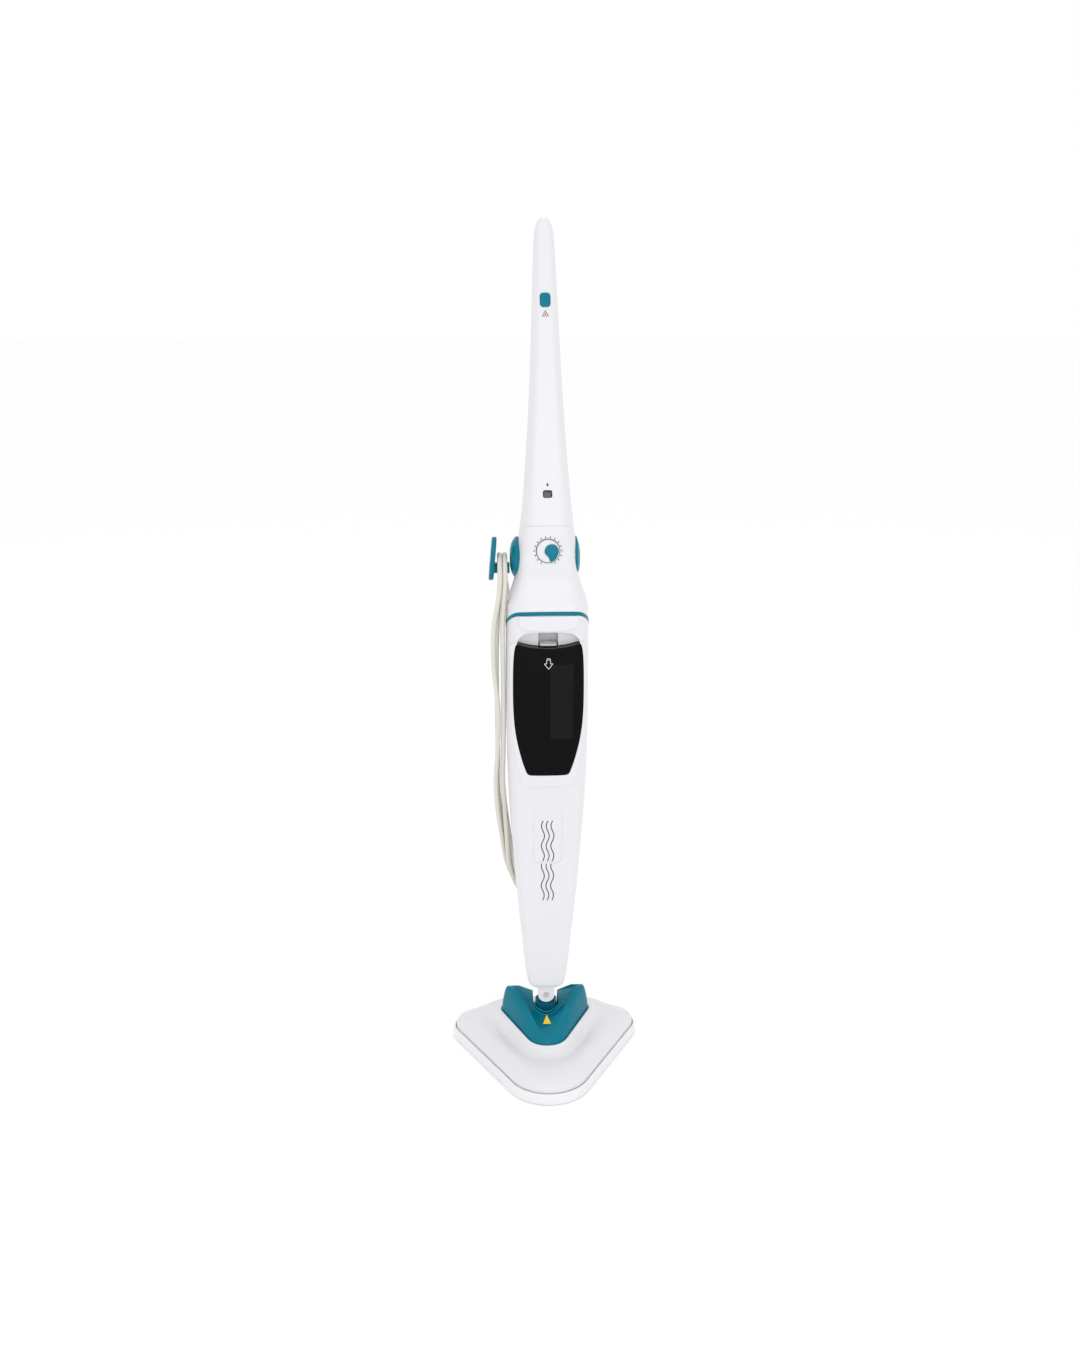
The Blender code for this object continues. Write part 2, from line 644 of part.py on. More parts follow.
yr = [yoke_ring(0.0, 0.0, 0.0), yoke_ring(0.0, 0.0, 0.30), yoke_ring(0.0030, 0.0, 0.70), yoke_ring(0.0062, 0.0, 0.95),
      yoke_ring(0.0085, 0.0, 1.0), yoke_ring(0.0125, 0.0, 1.0), yoke_ring(0.0145, 0.0005, 1.0)]
yoke = loft("yoke_cover", yr)
yi = [yoke_ring(0.0024, -0.0030, 0.0), yoke_ring(0.0026, -0.0005, 0.25), yoke_ring(0.0058, -0.0015, 0.66), yoke_ring(0.0088, -0.0022, 0.91),
      yoke_ring(0.0120, -0.0026, 0.96), yoke_ring(0.0145, -0.0026, 0.97)]
yoke = cut(yoke, loft("c", yi))
SLOT = [(0.0190, 0.0750), (-0.0190, 0.0750), (-0.0190, -0.0045), (-0.0172, -0.0100), (-0.0126, -0.0150), (-0.0060, -0.0184), (0.0, -0.0198),
        (0.0060, -0.0184), (0.0126, -0.0150), (0.0172, -0.0100), (0.0190, -0.0045)]
yoke = cut(yoke, prism("c", SLOT, 0.03, 0.12))
piece(yoke, "teal")

pin = turned("pitch_pin", [(0.0, -0.0262), (0.0042, -0.0262), (0.0042, -0.0242), (0.0032, -0.0240), (0.0032, 0.0250), (0.0, 0.0250)],
             (0, 0, PITCH_Z), (1, 0, 0), 16)
piece(pin, "steel")

# ================================================================ neck
kn = turned("neck_knuckle", [(0.0, -0.0155), (0.0105, -0.0155), (0.0112, -0.0148), (0.0112, 0.0148), (0.0105, 0.0155), (0.0, 0.0155)],
            (0, 0, PITCH_Z), (1, 0, 0), 24)
kn = add(kn, loft("c", [[Vector((x, y, z)) for x, y in rounded_rect(0, 0, w, d, 0.006, 4)]
                        for z, w, d in ((0.0520, 0.0300, 0.0200), (0.0680, 0.0310, 0.0225), (0.0810, 0.0320, 0.0235), (0.0865, 0.0310, 0.0235))]))
kn = add(kn, prism("c", [(-0.0130, 0.0840), (0.0130, 0.0840), (0.0112, 0.0950), (0.0100, ROLL_Z + 0.0010), (0.0075, ROLL_Z + 0.0066),
                         (0.0, ROLL_Z + 0.0096), (-0.0075, ROLL_Z + 0.0066), (-0.0100, ROLL_Z + 0.0010), (-0.0112, 0.0950)], -0.0058, 0.0058, "Y"))
kn = cut(kn, turned("c", [(0.0, -0.03), (0.0035, -0.03), (0.0035, 0.03), (0.0, 0.03)], (0, 0, PITCH_Z), (1, 0, 0), 16))
kn = cut(kn, turned("c", [(0.0, -0.03), (0.0030, -0.03), (0.0030, 0.03), (0.0, 0.03)], (0, 0, ROLL_Z), (0, 1, 0), 16))
piece(kn, "teal", (0, 0, PITCH_Z))

rp = turned("roll_pin", [(0.0, -0.0150), (0.0040, -0.0150), (0.0040, -0.0139), (0.0027, -0.0138), (0.0027, 0.0135), (0.0, 0.0135)],
            (0, 0, ROLL_Z), (0, 1, 0), 16)
piece(rp, "steel")

col = turned("neck_collar", [(0.0, 0.1120), (0.0158, 0.1120), (0.0170, 0.1132), (0.0170, 0.1160), (0.0, 0.1160)], (0, 0, 0), steps=28)
for side in (-1, 1):
    cheek = prism("c", [(-0.0122, ROLL_Z + 0.013), (-0.0122, ROLL_Z), (-0.0106, ROLL_Z - 0.0061), (-0.0061, ROLL_Z - 0.0106), (0.0, ROLL_Z - 0.0122),
                        (0.0061, ROLL_Z - 0.0106), (0.0106, ROLL_Z - 0.0061), (0.0122, ROLL_Z), (0.0122, ROLL_Z + 0.013)],
                  side * 0.0062, side * 0.0134, "Y")
    col = add(col, cheek)
col = cut(col, turned("c", [(0.0, -0.03), (0.0030, -0.03), (0.0030, 0.03), (0.0, 0.03)], (0, 0, ROLL_Z), (0, 1, 0), 16))
piece(col, "white")

# ================================================================ body shells
tank_line = mirror_outline(TANK)
bay_line = offset_outline(tank_line, 0.0006)
bay_wall = offset_outline(tank_line, 0.0030)
bezel_line = offset_outline(tank_line, 0.0062)
recess_line = mirror_outline([(0.0, 0.6500), (0.0440, 0.6500), (0.0440, 0.6640), (0.0432, 0.6700), (0.0405, 0.6760), (0.0350, 0.6812), (0.0280, 0.6838), (0.0, 0.6848)])
recess_wall = offset_outline(recess_line, 0.0024)


def half_space(name, side, gap=GAP / 2):
    if side < 0:
        return box(name, -0.2, 0.2, -0.3, SPLIT_Y - gap, 0.0, 1.0)
    return box(name, -0.2, 0.2, SPLIT_Y + gap, 0.3, 0.0, 1.0)


def shell_outer(name, front):
    s = body_loft(name)
    s = cut(s, slant("c", SEAM_Z, SEAM_SLOPE, True))
    if front:
        bez = body_loft("c", 0.0016, 0.44, 0.700, 28, [0.46, 0.48, 0.5, 0.53, 0.57, 0.61, 0.65, 0.68])
        s = add(s, keep(bez, prism("d", mirror_outline(BEZEL), -0.2, -0.020, "Y")))
        bar = body_loft("c", 0.0038, 0.67, 0.73, 28, [0.69, 0.7, 0.707])
        s = add(s, keep(bar, prism("d", mirror_outline(BAR), -0.2, -0.030, "Y")))
    return s


front = shell_outer("front_housing", True)
cav = body_loft("c", -WALL, BODY_Z0 + 0.0035, BODY_Z1 - WALL, 24, [0.14, 0.20, 0.253, 0.32, 0.38, 0.43, 0.5, 0.57, 0.65, 0.70, 0.728, 0.746, 0.767, 0.80])
cav = cut(cav, slant("d", SEAM_Z - 0.0028, SEAM_SLOPE, True))
cav = cut(cav, prism("d", bay_wall, -0.2, BAY_BACK_Y + 0.0024, "Y"))
cav = cut(cav, box("d", -0.0160, 0.0160, -0.2, -0.0276, 0.6500, 0.6866))
cav = cut(cav, prism("d", recess_wall, -0.2, RECESS_Y + 0.0024, "Y"))
front = cut(front, cav)
front = cut(front, prism("d", bay_line, -0.2, BAY_BACK_Y, "Y"))
front = cut(front, prism("d", recess_line, -0.2, RECESS_Y, "Y"))
front = cut(front, box("d", -0.0136, 0.0136, -0.2, -0.0300, 0.6550, 0.6842))      # room for the filler cap
# groove for the accent band
BAND_Z0 = 0.7085
BAND_Z1 = 0.7135
BAND_MID = (BAND_Z0 + BAND_Z1) / 2
BAND_HALF = (BAND_Z1 - BAND_Z0) / 2
BAND_ZS = [0.64, 0.66, 0.68, 0.70, 0.7140, 0.7280, 0.7400]
groove = keep(body_loft("c", 0.01, 0.62, 0.76, 28, BAND_ZS), slant_slab("d", BAND_MID, BAND_HALF + GAP, BAND_SLOPE, -0.0586))
groove = cut(groove, body_loft("d", -0.0011 - GAP, 0.61, 0.77, 28, BAND_ZS))
front = cut(front, groove)
ky = table(BODY, KNOB_Z)[1]
PANEL_TILT = math.radians(5.6)
KNOB_AXIS = (0.0, math.cos(PANEL_TILT), -math.sin(PANEL_TILT))      # from the panel into the body
KNOB_C = (0.0, ky, KNOB_Z)
# holes: regulator shaft, tank outlet, screws
front = cut(front, turned("c", [(0.0, -0.03), (0.0034, -0.03), (0.0034, 0.008), (0.0, 0.008)], KNOB_C, KNOB_AXIS, 16))
front = cut(front, turned("c", [(0.0, -0.03), (0.0058, -0.03), (0.0058, 0.0), (0.0, 0.0)], (0, 0, 0.5000), (0, 1, 0), 16))
# shallow badge recess low on the front
badge = body_loft("c", 0.01, 0.330, 0.428, 28, [0.34, 0.38, 0.41])
badge = cut(badge, body_loft("d", -0.0008, 0.320, 0.440, 28, [0.34, 0.38, 0.41]))
badge = keep(badge, prism("d", rounded_rect(0, 0.378, 0.042, 0.088, 0.008, 4), -0.1, -0.02, "Y"))
front = cut(front, badge)
front = cut(front, half_space("c", 1, -GAP / 2))
piece(front, "white")

rear = cut(body_loft("rear_housing"), slant("c", SEAM_Z, SEAM_SLOPE, True))
rcav = body_loft("c", -WALL, BODY_Z0 + 0.0035, BODY_Z1 - WALL, 24, [0.14, 0.20, 0.253, 0.32, 0.38, 0.43, 0.5, 0.57, 0.65, 0.70, 0.728, 0.746, 0.767, 0.80])
rcav = cut(rcav, slant("d", SEAM_Z - 0.0028, SEAM_SLOPE, True))
rear = cut(rear, rcav)
rear = cut(rear, half_space("c", -1, -GAP / 2))
BODY_SCREWS = ((0.0, 0.170), (0.020, 0.440), (0.020, 0.640), (0.0, 0.7650))
for sx, sz in BODY_SCREWS:
    yb = table(BODY, sz)[2]
    rear = cut(rear, turned("c", [(0.0, 0.01), (0.0019, 0.01), (0.0019, 0.1), (0.0, 0.1)], (sx, 0, sz), (0, 1, 0), 12))
    rear = cut(rear, turned("c", [(0.0, yb - 0.0016), (0.0036, yb - 0.0016), (0.0036, 0.1), (0.0, 0.1)], (sx, 0, sz), (0, 1, 0), 12))
GLAND = (0.0240, 0.3350)
gy = 0.0378
rear = add(rear, turned("c", [(0.0, 0.0300), (0.0092, 0.0300), (0.0084, gy), (0.0, gy)], (GLAND[0], 0, GLAND[1]), (0, 1, 0), 20))
rear = cut(rear, turned("c", [(0.0, 0.0), (0.0052, 0.0), (0.0052, 0.1), (0.0, 0.1)], (GLAND[0], 0, GLAND[1]), (0, 1, 0), 16))
piece(rear, "white")

for i, (sx, sz) in enumerate(BODY_SCREWS):
    yb = table(BODY, sz)[2]
    s = turned("body_screw_%d" % (i + 1), [(0.0, yb - 0.0145), (0.0014, yb - 0.0135), (0.0014, yb - 0.0013), (0.0031, yb - 0.0012), (0.0031, yb - 0.0002), (0.0, yb + 0.0001)],
               (sx, 0, sz), (0, 1, 0), 8)
    piece(s, "steel")

band = keep(body_loft("accent_band", 0.0004, 0.62, 0.76, 28, BAND_ZS), slant_slab("d", BAND_MID, BAND_HALF, BAND_SLOPE, -0.0586))
band = cut(band, body_loft("d", -0.0011, 0.61, 0.77, 28, BAND_ZS))
band = cut(band, half_space("c", 1, -GAP / 2))
piece(band, "teal")

# ================================================================ water tank
tank = body_loft("water_tank", 0.0024, 0.470, 0.680, 28, [0.485, 0.50, 0.53, 0.57, 0.61, 0.65])
tank = keep(tank, prism("d", tank_line, -0.2, TANK_BACK_Y, "Y"))
tank = bevel(tank, 0.0012, 2, 50)
hollow = body_loft("c", 0.0002, 0.470, 0.680, 24, [0.485, 0.50, 0.53, 0.57, 0.61, 0.65])
hollow = keep(hollow, prism("d", offset_outline(tank_line, -0.0022), -0.2, TANK_BACK_Y - 0.0022, "Y"))
tank = cut(tank, hollow)
FILL_Y = -0.0445
tank = add(tank, turned("c", [(0.0, 0.6604), (0.0084, 0.6604), (0.0084, 0.6630), (0.0, 0.6630)], (0, FILL_Y, 0), steps=20))
tank = cut(tank, turned("c", [(0.0, 0.655), (0.0062, 0.655), (0.0062, 0.70), (0.0, 0.70)], (0, FILL_Y, 0), steps=20))
tank = cut(tank, turned("c", [(0.0, -0.02), (0.0036, -0.02), (0.0036, 0.0), (0.0, 0.0)], (0, 0, 0.5000), (0, 1, 0), 16))
piece(tank, "smoke")

CAP_Z = 0.6633
HINGE_Y = -0.0345
cap = prism("tank_cap", rounded_rect(0, -0.0435, 0.0240, 0.0180, 0.0040, 3), CAP_Z, CAP_Z + 0.0028)
cap = bevel(cap, 0.0006, 1, 40)
piece(cap, "black", (0, HINGE_Y, CAP_Z + 0.0014))

valve = turned("tank_valve", [(0.0014, -0.0190), (0.0033, -0.0190), (0.0033, -0.0114), (0.0050, -0.0113), (0.0050, -0.0040), (0.0014, -0.0040), (0.0014, -0.0190)],
               (0, 0, 0.5000), (0, 1, 0), 16)
piece(valve, "silicone")

# ================================================================ inner works
boiler = turned("boiler", [(0.0, 0.2700), (0.0200, 0.2700), (0.0245, 0.2745), (0.0245, 0.3650), (0.0200, 0.3695), (0.0, 0.3695)], (0, 0, 0), steps=24)
piece(boiler, "alu")
piece(turned("thermostat", [(0.0, 0.3698), (0.0070, 0.3698), (0.0070, 0.3748), (0.0040, 0.3750), (0.0040, 0.3790), (0.0, 0.3790)], (0.0110, 0, 0), steps=16), "black")
piece(turned("thermal_fuse", [(0.0, -0.0090), (0.0018, -0.0090), (0.0022, -0.0080), (0.0022, 0.0080), (0.0018, 0.0090), (0.0, 0.0090)],
             (0.0, 0.0272, 0.300), (1, 0, 0), 12), "grey")
pump = box("pump", -0.0170, 0.0170, 0.0040, 0.0340, 0.4650, 0.5250)
pump = bevel(pump, 0.003, 2, 40)
pump = add(pump, turned("c", [(0.0, 0.5240), (0.0060, 0.5240), (0.0060, 0.5330), (0.0035, 0.5340), (0.0035, 0.5400), (0.0, 0.5400)], (0, 0.019, 0), steps=16))
piece(pump, "black")
piece(tube("water_tube", smooth_path([(0.0, -0.0036, 0.5000), (0.0, 0.0002, 0.5000), (0.0, 0.0010, 0.5060), (0.0, 0.0012, 0.5300), (0.0, 0.0060, 0.5480), (0.0, 0.0150, 0.5490), (0.0, 0.0190, 0.5440), (0.0, 0.0190, 0.5403)], 18), 0.0024, 1), "silicone")
piece(tube("pump_tube", smooth_path([(-0.0060, 0.0190, 0.4647), (-0.0060, 0.0190, 0.4400), (-0.0090, 0.0100, 0.4100), (-0.0100, 0.0, 0.3900), (-0.0100, 0.0, 0.3698)], 16), 0.0024, 1), "silicone")
piece(tube("steam_tube", smooth_path([(0.0, 0.0, 0.2697), (0.0, 0.0, 0.2300), (0.004, 0.002, 0.1900), (0.0, 0.0, 0.1500), (0.0, 0.0, 0.1205)], 16), 0.0038, 1), "silicone")
piece(box("circuit_board", -0.0280, 0.0280, -0.0086, -0.0070, 0.7300, 0.8040), "pcb")
reg = turned("steam_regulator", [(0.0, 0.0032), (0.0030, 0.0032), (0.0030, 0.0120), (0.0085, 0.0122), (0.0085, 0.0290), (0.0, 0.0290)],
             KNOB_C, KNOB_AXIS, 20)
piece(reg, "grey")

# ================================================================ controls on the body
knob = turned("steam_knob", [(0.0, -0.0064), (KNOB_R - 0.0016, -0.0064), (KNOB_R - 0.0004, -0.0054), (KNOB_R, -0.0008), (0.0030, -0.0008),
                             (0.0030, 0.0029), (0.0, 0.0029)], KNOB_C, KNOB_AXIS, 32)
knob_axis = KNOB_C
piece(knob, "white", knob_axis)


def drop_outline(n=20):
    """Round bulb at the right of the knob with a tail that ends at its lower edge."""
    r, cx = 0.0096, 0.0046
    pts = []
    for i in range(n):
        t = math.radians(-28 + 228 * i / (n - 1))
        pts.append((cx + r * math.cos(t), 0.0002 + r * math.sin(t)))
    pts += [(-0.0010, -0.0062), (0.0010, -0.0092), (0.0019, -0.0122), (0.0022, -0.0140), (0.0046, -0.0138), (0.0080, -0.0119), (0.0110, -0.0090)]
    return pts


point = prism("knob_pointer", drop_outline(), -0.0085, -0.0067, "Y")
point.data.transform(Matrix.Translation(Vector(KNOB_C)) @ Matrix.Rotation(-PANEL_TILT, 4, "X"))
point = bevel(point, 0.0006, 1, 40)
piece(point, "teal", knob_axis)

for side, nm in ((-1, "side_cap_left"), (1, "side_cap_right")):
    x0 = 0.0380
    h = 0.0 if side < 0 else 1.0        # the right cap is a thin one
    prof = [(0.0, 0.0508 - 0.0050 * h), (0.0120, 0.0503 - 0.0048 * h), (0.0205, 0.0482 - 0.0042 * h), (0.0262, 0.0448 - 0.0026 * h), (0.0290, 0.0425 - 0.0015 * h), (0.0290, x0), (0.0, x0)]
    c = turned(nm, [(r, side * v) for r, v in prof], (0, 0.0, CAP_CENTRE_Z), (1, 0, 0), 32)
    c = cut(c, body_loft("d", GAP, 0.72, BODY_Z1, 28, [0.728, 0.746, 0.76, 0.768, 0.80]))
    piece(c, "teal")

# upper cord hook: arm out of the left cap, upright flange
HOOK_X0 = -0.0512
HOOK_X1 = -0.0740
arm_rows = []
hook = loft("upper_cord_hook", [[Vector((x, y, z)) for y, z in rounded_rect(0.0, ARM_Z, w, h, min(w, h) * 0.42, 4)]
                                for x, w, h in ((HOOK_X0, 0.0200, 0.0140), (-0.0600, 0.0190, 0.0130), (HOOK_X1, 0.0200, 0.0130))])
flange = loft("c", [[Vector((x + (z - 0.7745) * 0.09, y, z)) for y, z in rounded_rect(0.0, 0.7745, w, h, r, 5)]
                    for x, w, h, r in ((-0.0710, 0.0300, 0.0560, 0.0140), (-0.0718, 0.0330, 0.0600, 0.0160), (-0.0762, 0.0330, 0.0600, 0.0160), (-0.0776, 0.0290, 0.0560, 0.0140))])
hook = add(hook, flange)
piece(hook, "teal")

# lower cord hook on the back
LH_X = -0.0040
LH_Z = 0.2130
hook2 = prism("lower_cord_hook", rounded_rect(LH_X, LH_Z, 0.0200, 0.0120, 0.0050, 4), 0.0250, 0.0760, "Y")
hook2 = add(hook2, prism("c", rounded_rect(LH_X, LH_Z - 0.0060, 0.0240, 0.0440, 0.0100, 5), 0.0735, 0.0785, "Y"))
hook2 = cut(hook2, body_loft("d", GAP, 0.16, 0.28, 28, [0.20, 0.253]))
piece(hook2, "white")

# ================================================================ handle
HZ = [r[0] for r in HANDLE]


def handle_solid(name, off=0.0, z0=None, z1=None, zs=None):
    zs = zs or HZ
    z0 = zs[0] if z0 is None else z0
    z1 = zs[-1] if z1 is None else z1
    lst = [z0] + [z for z in zs if z0 + 0.001 < z < z1 - 0.001] + [z1]
    return loft(name, [handle_ring(z, off) for z in lst])


def handle_half(name, side):
    rows = []
    for z in [0.77] + HZ[1:] + [1.24]:
        yc = table(HANDLE, z)[0] + (z - HANDLE_Z1) * 0.3 * (1 if z > HANDLE_Z1 else 0)
        y0 = yc + 0.0008 + side * GAP / 2
        y1 = y0 + side * 0.12
        lo, hi = min(y0, y1), max(y0, y1)
        rows.append([Vector((-0.08, lo, z)), Vector((0.08, lo, z)), Vector((0.08, hi, z)), Vector((-0.08, hi, z))])
    return loft(name, rows)


HC = [0.7900, 0.8000, 0.8283, 0.87, 0.92, 0.98, 1.04, 1.08, 1.12, 1.16, 1.19, 1.2050]
hf = cut(keep(handle_solid("handle_front"), handle_half("c", -1)), slant("c", SEAM_Z + 0.00035, SEAM_SLOPE, False))
hr = cut(keep(handle_solid("handle_rear"), handle_half("c", 1)), slant("c", SEAM_Z + 0.00035, SEAM_SLOPE, False))
core = cut(handle_solid("c", -WALL, 0.7870, 1.2050, HC), slant("d", SEAM_Z + 0.0031, SEAM_SLOPE, False))
hf = cut(hf, core)
core = cut(handle_solid("c", -WALL, 0.7870, 1.2050, HC), slant("d", SEAM_Z + 0.0031, SEAM_SLOPE, False))
hr = cut(hr, core)


def face_frame(z):
    """Point on the flat front face of the handle at height z, with its outward normal and up direction."""
    yc, hd, hw, fw = table(HANDLE, z)
    ya = table(HANDLE, z - 0.004)
    yb = table(HANDLE, z + 0.004)
    up = Vector((0, (yb[0] - yb[1]) - (ya[0] - ya[1]), 0.008)).normalized()
    nrm = Vector((0, -up.z, up.y))
    return Vector((0, yc - hd, z)), nrm, up


def placed_prism(name, pts, frame, lo, hi):
    """Extrude an outline drawn in the face plane, from lo to hi along the outward normal."""
    c, nrm, up = frame
    bm = bmesh.new()
    vs = [bm.verts.new(c + Vector((1, 0, 0)) * x + up * y + nrm * lo) for x, y in pts]
    f = bm.faces.new(vs)
    r = bmesh.ops.extrude_face_region(bm, geom=[f])
    bmesh.ops.translate(bm, vec=nrm * (hi - lo), verts=[q for q in r["geom"] if isinstance(q, bmesh.types.BMVert)])
    return finish(bm, name)


FB = face_frame(BUTTON_Z)
FL = face_frame(0.8680)
hf = cut(hf, placed_prism("c", rounded_rect(0, 0, 0.0144, 0.0192, 0.0046, 5), FB, -0.006, 0.01))
hf = cut(hf, placed_prism("c", rounded_rect(0, 0, 0.0126, 0.0104, 0.0026, 4), FL, -0.006, 0.01))
piece(hf, "white")
piece(hr, "white")

BUTTON_TRAVEL = 0.0025
btn = placed_prism("steam_button", rounded_rect(0, 0, 0.0136, 0.0184, 0.0043, 5), FB, -0.0022, 0.0022)
btn = bevel(btn, 0.0010, 2, 40)
btn = add(btn, placed_prism("c", rounded_rect(0, 0, 0.0060, 0.0060, 0.0020, 3), FB, -0.0062, -0.0018))
piece(btn, "teal", FB[0])

c, nrm, up = FB
spring_pts = []
turns = 4
for i in range(turns * 9 + 1):
    t = 2 * math.pi * i / 9
    h = -0.0027 - 0.0066 * i / (turns * 9)
    spring_pts.append(c + nrm * h + Vector((1, 0, 0)) * 0.0046 * math.cos(t) + up * 0.0046 * math.sin(t))
piece(tube("button_spring", spring_pts, 0.0004, 1), "steel")
sw = placed_prism("micro_switch", rounded_rect(0, 0, 0.0120, 0.0200, 0.0008, 1), FB, -0.0155, -0.0100)
sw = add(sw, placed_prism("c", rounded_rect(0, 0, 0.0030, 0.0030, 0.0008, 1), FB, -0.0101, -0.0090))
piece(sw, "black")

lens = placed_prism("indicator_lens", rounded_rect(0, 0, 0.0120, 0.0098, 0.0023, 4), FL, -0.0020, 0.0006)
lens = bevel(lens, 0.0004, 1, 40)
piece(lens, "lens")
led = FL
piece(turned("indicator_led", [(0.0, -0.0085), (0.0025, -0.0085), (0.0025, -0.0045), (0.0015, -0.0026), (0.0, -0.0023)], FL[0], FL[1], 12), "grey")

tube_pts = [(0, table(HANDLE, z)[0] + 0.0005, z) for z in (0.8350, 0.86, 0.90, 0.95, 1.00, 1.05, 1.085)]
piece(tube("handle_tube", smooth_path(tube_pts, 12), 0.0080, 3), "alu")

# ================================================================ supply cord, wound on the two hooks
gland = turned("cord_gland", [(0.0, 0.0205), (0.0070, 0.0205), (0.0070, 0.0242), (0.0049, 0.0244), (0.0049, gy + GAP), (0.0068, gy + GAP), (0.0064, gy + 0.0030), (0.0050, gy + 0.0050),
                              (0.0044, gy + 0.0230), (0.0, gy + 0.0230)], (GLAND[0], 0, GLAND[1]), (0, 1, 0), 16)
piece(gland, "black")

# the winding runs over the upper arm, down the left side, under the lower post and up the back
TURN_R = 0.0249             # centreline radius of both folds
TOP_C = (-0.0612, 0.0, ARM_Z - 0.0072)
LOW_C = (LH_X, 0.0600, LH_Z + 0.0078)
HANK_ROUTE = []
for a in (90, 60, 30, 0):
    t = math.radians(a)
    HANK_ROUTE.append((TOP_C[0], TOP_C[1] - TURN_R * math.cos(t), TOP_C[2] + TURN_R * math.sin(t)))
HANK_ROUTE += [(-0.0660, -0.0262, 0.7200), (-0.0676, -0.0262, 0.6800), (-0.0680, -0.0235, 0.6300), (-0.0680, -0.0185, 0.5600), (-0.0668, -0.0125, 0.4900),
               (-0.0662, -0.0040, 0.4200), (-0.0650, 0.0080, 0.3550), (-0.0600, 0.0250, 0.3050), (-0.0500, 0.0430, 0.2680), (-0.0375, 0.0560, 0.2420)]
for a in (18, 42, 66, 90, 118, 146, 174):
    t = math.radians(a)
    HANK_ROUTE.append((LOW_C[0] - TURN_R * math.cos(t), LOW_C[1], LOW_C[2] - TURN_R * math.sin(t)))
HANK_ROUTE += [(0.0190, 0.0605, 0.2600), (0.0130, 0.0605, 0.2950), (0.0000, 0.0610, 0.3500), (-0.0150, 0.0625, 0.4300), (-0.0290, 0.0635, 0.5200),
               (-0.0400, 0.0620, 0.6000), (-0.0495, 0.0540, 0.6700), (-0.0570, 0.0380, 0.7180)]
for a in (0, 30, 60):
    t = math.radians(a)
    HANK_ROUTE.append((TOP_C[0], TOP_C[1] + TURN_R * math.cos(t), TOP_C[2] + TURN_R * math.sin(t)))


def route_points(pts, step):
    """Closed Catmull-Rom through the route, one point per short span and several on each long one."""
    n = len(pts)
    v = [Vector(p) for p in pts]
    out = []
    for i in range(n):
        p0, p1, p2, p3 = v[i - 1], v[i], v[(i + 1) % n], v[(i + 2) % n]
        k = max(1, int(round((p2 - p1).length / step)))
        for q in range(k):
            t = q / k
            out.append(0.5 * ((2 * p1) + (p2 - p0) * t + (2 * p0 - 5 * p1 + 4 * p2 - p3) * t * t + (3 * p1 - p0 - 3 * p2 + p3) * t ** 3))
    return out


hank = tube("cord_hank", route_points(HANK_ROUTE, 0.028), HANK_R, 2, True)
piece(hank, "cord")

lead_pts = smooth_path([(GLAND[0], gy + 0.0233, GLAND[1]), (GLAND[0] + 0.0005, gy + 0.0330, GLAND[1] - 0.0015), (0.0285, gy + 0.0440, 0.3210), (0.0365, 0.0835, 0.2950),
                        (0.0405, 0.0790, 0.2680), (0.0395, 0.0700, 0.2460), (0.0360, 0.0630, 0.2290)], 20)
piece(tube("cord_lead", lead_pts, CORD_D / 2, 2), "cord")

PLUG_X = 0.0110
PLUG_Y = 0.0640
plug = loft("mains_plug", [[Vector((x, y, 0.8525 - z)) for x, y in reversed(rounded_rect(PLUG_X, PLUG_Y, w, d, r, 4))]
                           for z, w, d, r in ((0.3920, 0.0090, 0.0090, 0.0042), (0.4060, 0.0110, 0.0100, 0.0046), (0.4100, 0.0230, 0.0130, 0.0060), (0.4280, 0.0260, 0.0145, 0.0066), (0.4420, 0.0250, 0.0140, 0.0062))])
plug = bevel(plug, 0.0008, 1, 60)
for px in (-0.0065, 0.0065):
    plug = add(plug, turned("c", [(0.0, 0.3920), (0.0014, 0.3920), (0.0022, 0.3935), (0.0022, 0.4125), (0.0, 0.4125)], (PLUG_X + px, PLUG_Y, 0), steps=12))
piece(plug, "cord")

# ---------------------------------------------------------------- stand the whole thing on the footprint centre
for ob in COLL.objects:
    if ob.parent is None:
        ob.location.y += Y_SHIFT
    for poly in ob.data.polygons:
        poly.use_smooth = False
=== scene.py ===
import bpy
import bmesh
import math
import json
from mathutils import Vector, Matrix, noise

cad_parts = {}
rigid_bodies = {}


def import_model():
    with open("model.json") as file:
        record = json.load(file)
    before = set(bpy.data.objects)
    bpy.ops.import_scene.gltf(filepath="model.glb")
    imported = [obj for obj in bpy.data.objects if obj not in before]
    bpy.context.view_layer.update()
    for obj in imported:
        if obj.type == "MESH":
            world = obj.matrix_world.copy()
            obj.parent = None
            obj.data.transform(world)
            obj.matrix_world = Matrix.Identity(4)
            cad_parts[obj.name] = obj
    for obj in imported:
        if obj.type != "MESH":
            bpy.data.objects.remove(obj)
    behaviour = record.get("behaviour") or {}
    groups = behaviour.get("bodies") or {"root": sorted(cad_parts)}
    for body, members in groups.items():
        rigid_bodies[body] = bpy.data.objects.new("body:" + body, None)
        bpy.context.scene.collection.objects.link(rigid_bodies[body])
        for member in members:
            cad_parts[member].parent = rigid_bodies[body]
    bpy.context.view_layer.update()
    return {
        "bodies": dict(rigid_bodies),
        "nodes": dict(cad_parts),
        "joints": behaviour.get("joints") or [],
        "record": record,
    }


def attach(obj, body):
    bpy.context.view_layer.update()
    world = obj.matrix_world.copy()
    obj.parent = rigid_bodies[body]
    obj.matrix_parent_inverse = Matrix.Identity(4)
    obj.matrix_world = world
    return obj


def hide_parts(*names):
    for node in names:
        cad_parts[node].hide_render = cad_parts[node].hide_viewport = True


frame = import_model()


scene = bpy.context.scene
NODES = frame["nodes"]

